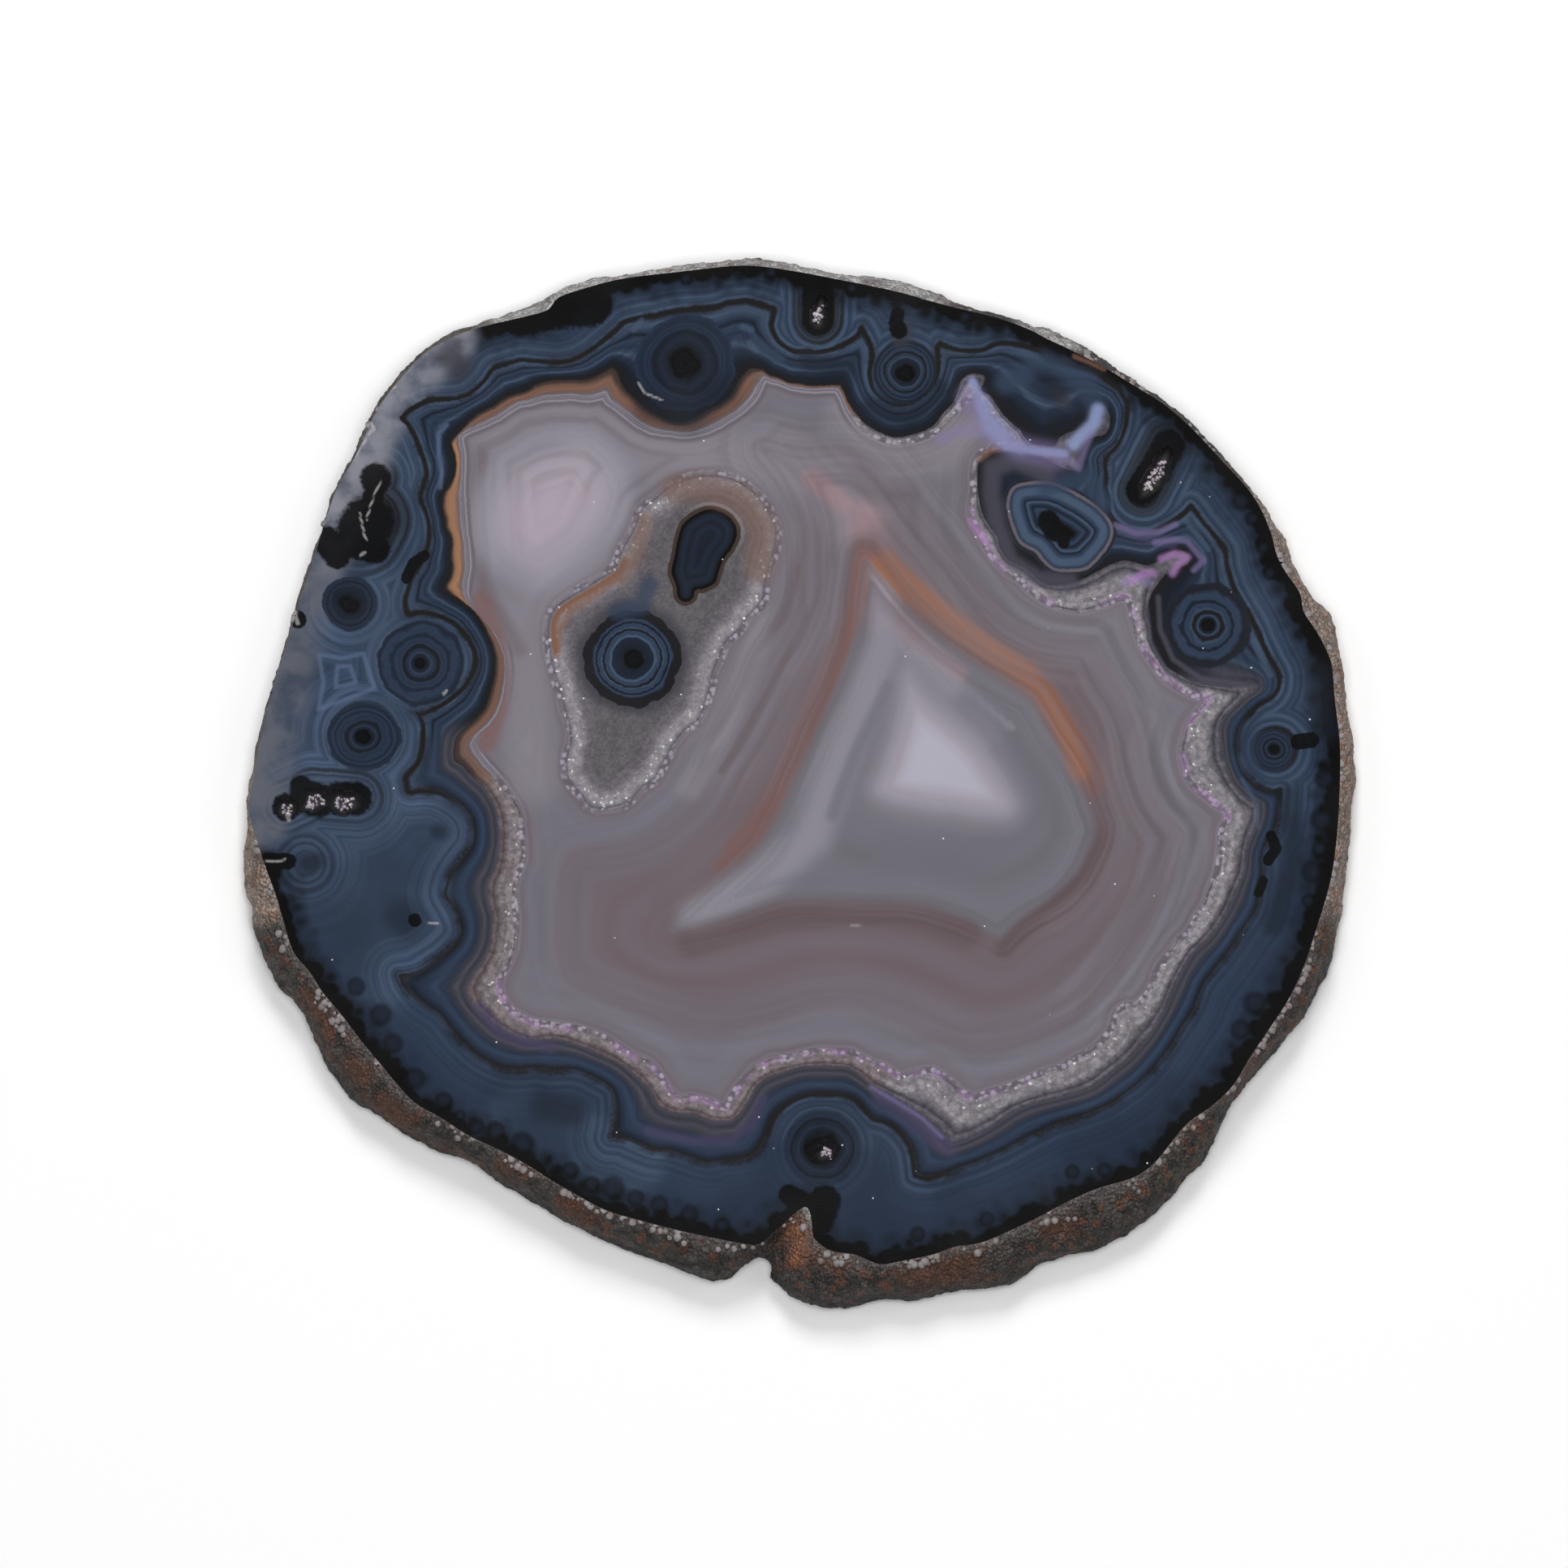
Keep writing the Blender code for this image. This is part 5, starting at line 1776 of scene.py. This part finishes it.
def keep_face_fields(data, outline):
    """Stores the distances to the traced lines, the eyes' rings and the marks on the face."""
    sheet = on_sheet(vertex_places(data))
    island = depth_inside(sheet, smooth_line(ISLAND))
    rings, glow = eye_rings(sheet)
    fields = {
        "dark_line": depth_inside(sheet, smooth_line(DARK_LINE)),
        "blue_edge": depth_inside(sheet, smooth_line(BLUE_EDGE)),
        "druse_edge": np.minimum(depth_inside(sheet, smooth_line(DRUSE_EDGE)), -island),
        "mauve_edge": depth_inside(sheet, smooth_line(MAUVE_EDGE)),
        "grey_edge": depth_inside(sheet, smooth_line(GREY_EDGE)),
        "core_edge": depth_inside(sheet, smooth_line(CORE_EDGE)),
        "lobe": depth_inside(sheet, smooth_line(LOBE)),
        "nest": nest_gap(sheet),
        "bubble": bubble_reach(sheet),
        "island": island,
        "kidney": depth_inside(sheet, smooth_line(KIDNEY)),
        "halo": depth_inside(sheet, smooth_line(HALO)),
        "rim": depth_inside(sheet, on_sheet(outline)),
        "eye": rings,
        "glow": glow,
        "sunk": face_depth(vertex_places(data)[:, :2]),
    }
    for name, values in fields.items():
        keep_field(data, name, values)
    for name, strokes in SIDES.items():
        keep_field(data, name, ease(brush(sheet, strokes) * 2.0))
    for name, (*_, strokes) in (INNER_MARKS | MARKS).items():
        keep_field(data, name, brush(sheet, strokes))


def keep_face_map(data):
    """Stores a map for baking colours on: nearly all of it is the polished face."""
    flat = data.uv_layers.new(name="OFBake")
    places = vertex_places(data)
    low, high = places.min(0), places.max(0)
    span = max(high - low)
    corners = np.zeros(len(data.loops), np.int32)
    data.loops.foreach_get("vertex_index", corners)
    share = (places[corners][:, :2] - low[:2]) / span
    place = 0.01 + 0.98 * share
    under = np.zeros(len(data.loops), bool)
    for face in data.polygons:
        if face.material_index == 1:
            under[face.loop_start : face.loop_start + face.loop_total] = True
    place[under] = 0.005 + 0.13 * share[under]
    flat.data.foreach_set("uv", place.astype(np.float32).ravel())


class AGATE_OT_slab(bpy.types.Operator):
    """Build the polished slab with its banded face and its sawn back"""

    bl_idname = "agate.slab"
    bl_label = "Polished slab"

    def execute(self, context):
        scene = context.scene
        skin = fine_skin(scene.agate_skin.detail)
        upper = [vert.co.copy() for vert in open_loop(skin, THICKNESS)]
        lower = [vert.co.copy() for vert in open_loop(skin, 0.0)]
        skin.free()
        mesh = bmesh.new()
        top = [mesh.verts.new(place) for place in upper]
        bottom = [mesh.verts.new(place) for place in lower]
        face_mesh(mesh, top, scene.agate_face)
        wall_top = inset_ring(mesh, top, WALL_INSET, THICKNESS - WALL_DROP)
        wall_low = inset_ring(mesh, bottom, WALL_INSET, WALL_DROP)
        face_count = len(mesh.faces)
        bridge(mesh, top, wall_top)
        bridge(mesh, wall_top, wall_low)
        bridge(mesh, wall_low, bottom)
        mesh.faces.new(list(reversed(bottom)))
        mesh.faces.ensure_lookup_table()
        for face in mesh.faces[face_count:]:
            face.material_index = 1
        bmesh.ops.triangulate(mesh, faces=[face for face in mesh.faces if len(face.verts) > 4])
        data = bpy.data.meshes.new("polished_slab")
        mesh.to_mesh(data)
        mesh.free()
        colours = shared_colours(scene)
        groups = shared_groups()
        data.materials.append(polished_agate(colours, groups))
        data.materials.append(sawn_back(colours, groups))
        keep_face_fields(data, np.array([place[:2] for place in upper]) / MM)
        keep_face_map(data)
        new_piece("polished_slab", data)
        return {"FINISHED"}


class AGATE_OT_skin(bpy.types.Operator):
    """Build the rough skin round the slab"""

    bl_idname = "agate.skin"
    bl_label = "Rough skin"

    def execute(self, context):
        scene = context.scene
        mesh = fine_skin(scene.agate_skin.detail)
        roughen_skin(mesh, scene.agate_skin)
        top = open_loop(mesh, THICKNESS)
        bottom = open_loop(mesh, 0.0)
        wall_top = inset_ring(mesh, top, SKIN_INSET, THICKNESS - WALL_DROP)
        wall_low = inset_ring(mesh, bottom, SKIN_INSET, WALL_DROP)
        for upper, lower in ((wall_top, top), (wall_low, wall_top), (bottom, wall_low)):
            bridge(mesh, upper, lower)
        for face in mesh.faces:
            face.smooth = True
        data = bpy.data.meshes.new("rough_skin")
        mesh.to_mesh(data)
        mesh.free()
        sheet = on_sheet(vertex_places(data))
        for name, strokes in SKIN_MARKS.items():
            keep_field(data, name, brush(sheet, strokes))
        data.materials.append(rough_rind(shared_colours(scene), shared_groups()))
        new_piece("rough_skin", data)
        return {"FINISHED"}


class AGATE_OT_grains(bpy.types.Operator):
    """Scatter pale grains along the upper edge of the skin"""

    bl_idname = "agate.grains"
    bl_label = "Skin grains"

    def execute(self, context):
        scene = context.scene
        sizes = scene.agate_grains
        base = bpy.data.objects["rough_skin"].data.copy()
        places = vertex_places(base)
        normals = np.zeros(len(base.vertices) * 3, np.float32)
        base.vertices.foreach_get("normal", normals)
        outward = normals.reshape(-1, 3)
        height = places[:, 2]
        clumps = np.array([noise.noise(Vector(place) / CLUMP_PITCH) for place in places])
        room = ease((height - GRAIN_HEIGHT) / GRAIN_FADE)
        room *= ease(0.5 + clumps * 2.5)
        sheet = on_sheet(places)
        room *= is_outer(places, outward) * (1.0 - 0.9 * brush(sheet, CLEAN_EDGE))
        keep_field(base, "room", room)
        tree = scatter_tree("skin_grain_scatter", round_grain)
        values = {
            "Density": 3.0e6,
            "Spacing": sizes.spacing,
            "Smallest": sizes.smallest,
            "Largest": sizes.largest,
            "Flatness": 0.8,
            "Seed": sizes.seed,
        }
        material = grain_stone(shared_colours(scene), shared_groups())
        data = scatter("skin_grains", base, tree, values, material)
        keep_below(data)
        new_piece("skin_grains", data)
        return {"FINISHED"}


def is_outer(places, outward):
    """Whether each vertex of the skin's ring lies on its outer side."""
    middle = np.array((places[:, 0].mean(), places[:, 1].mean()))
    away = places[:, :2] - middle
    return ((outward[:, :2] * away).sum(1) > 0.0).astype(float)


def keep_below(data):
    """Lowers whatever stands above the polished face to just under it."""
    places = vertex_places(data)
    places[:, 2] = np.minimum(places[:, 2], THICKNESS - 0.02)
    data.vertices.foreach_set("co", (places * MM).astype(np.float32).ravel())


class AGATE_OT_crystals(bpy.types.Operator):
    """Grow quartz points in the open vugs"""

    bl_idname = "agate.crystals"
    bl_label = "Vug crystals"

    def execute(self, context):
        scene = context.scene
        sizes = scene.agate_crystals
        base = bpy.data.objects["polished_slab"].data.copy()
        places = vertex_places(base)
        sunk = face_depth(places[:, :2])
        deepest = np.max([(vug_reach(places[:, :2], vug) < CRYSTAL_REACH) for vug in VUGS], axis=0)
        room = ease((sunk - 0.5) / 0.3) * (places[:, 2] > THICKNESS - 2.0) * deepest
        keep_field(base, "room", room)
        tree = scatter_tree("vug_crystal_scatter", quartz_point)
        values = {
            "Density": 1.2e7,
            "Spacing": sizes.spacing,
            "Smallest": sizes.smallest,
            "Largest": sizes.largest,
            "Flatness": 1.3,
            "Seed": sizes.seed,
        }
        material = crystal_quartz(shared_colours(scene), shared_groups())
        data = scatter("vug_crystals", base, tree, values, material)
        keep_below(data)
        new_piece("vug_crystals", data)
        return {"FINISHED"}


def soft_light(name, power, place, size):
    """A large square light that looks at the slab."""
    light = bpy.data.lights.new(name, "AREA")
    light.shape = "SQUARE"
    light.size = size
    light.energy = power
    lamp = bpy.data.objects.new(name, light)
    lamp.location = place
    lamp.rotation_euler = (-Vector(place)).to_track_quat("-Z", "Y").to_euler()
    bpy.context.scene.collection.objects.link(lamp)


class AGATE_OT_studio(bpy.types.Operator):
    """Lay the pale floor and set the lights and the camera"""

    bl_idname = "agate.studio"
    bl_label = "Studio"

    def execute(self, context):
        scene = context.scene
        studio = scene.agate_studio
        mesh = bmesh.new()
        bmesh.ops.create_grid(mesh, x_segments=1, y_segments=1, size=FLOOR_HALF)
        data = bpy.data.meshes.new("studio_floor")
        mesh.to_mesh(data)
        mesh.free()
        data.materials.append(pale_floor(studio.floor))
        floor = bpy.data.objects.new("studio_floor", data)
        scene.collection.objects.link(floor)
        for name, share, place, size in LIGHTS:
            soft_light(name, getattr(studio, share + "_power"), place, size)
        world = bpy.data.worlds.new("studio_air")
        world.use_nodes = True
        world.node_tree.nodes["Background"].inputs["Color"].default_value = (1.0, 1.0, 1.0, 1.0)
        world.node_tree.nodes["Background"].inputs["Strength"].default_value = AIR_STRENGTH
        scene.world = world
        camera = bpy.data.cameras.new("camera")
        camera.lens = studio.lens
        camera.sensor_width = SENSOR
        camera.clip_end = 20.0
        eye = bpy.data.objects.new("camera", camera)
        aim = Vector((0.0, -math.sin(LEAN), math.cos(LEAN)))
        distance = FRAME_WIDTH * MM * studio.lens / SENSOR
        eye.location = Vector(LOOK_AT) * MM + aim * distance
        eye.rotation_euler = aim.to_track_quat("Z", "Y").to_euler()
        scene.collection.objects.link(eye)
        scene.camera = eye
        scene.view_settings.view_transform = "Standard"
        return {"FINISHED"}


class AGATE_PT_slice(bpy.types.Panel):
    """Lists the pieces of the agate slice"""

    bl_idname = "AGATE_PT_slice"
    bl_label = "Agate Slice"
    bl_space_type = "VIEW_3D"
    bl_region_type = "UI"
    bl_category = "Agate"

    def draw(self, context):
        for operator in OPERATORS:
            self.layout.operator(operator.bl_idname)


SETTINGS = {
    "agate_colours": AgateColours,
    "agate_face": FaceSizes,
    "agate_skin": SkinSizes,
    "agate_grains": GrainSizes,
    "agate_crystals": CrystalSizes,
    "agate_studio": StudioSettings,
}
OPERATORS = (AGATE_OT_slab, AGATE_OT_skin, AGATE_OT_grains, AGATE_OT_crystals, AGATE_OT_studio)


def register():
    for name, settings in SETTINGS.items():
        bpy.utils.register_class(settings)
        setattr(bpy.types.Scene, name, bpy.props.PointerProperty(type=settings))
    for operator in OPERATORS:
        bpy.utils.register_class(operator)
    bpy.utils.register_class(AGATE_PT_slice)


def unregister():
    bpy.utils.unregister_class(AGATE_PT_slice)
    for operator in reversed(OPERATORS):
        bpy.utils.unregister_class(operator)
    for name, settings in reversed(SETTINGS.items()):
        delattr(bpy.types.Scene, name)
        bpy.utils.unregister_class(settings)


def main():
    register()
    bpy.ops.agate.slab()
    bpy.ops.agate.skin()
    bpy.ops.agate.grains()
    bpy.ops.agate.crystals()
    bpy.ops.agate.studio()


if __name__ == "__main__":
    main()
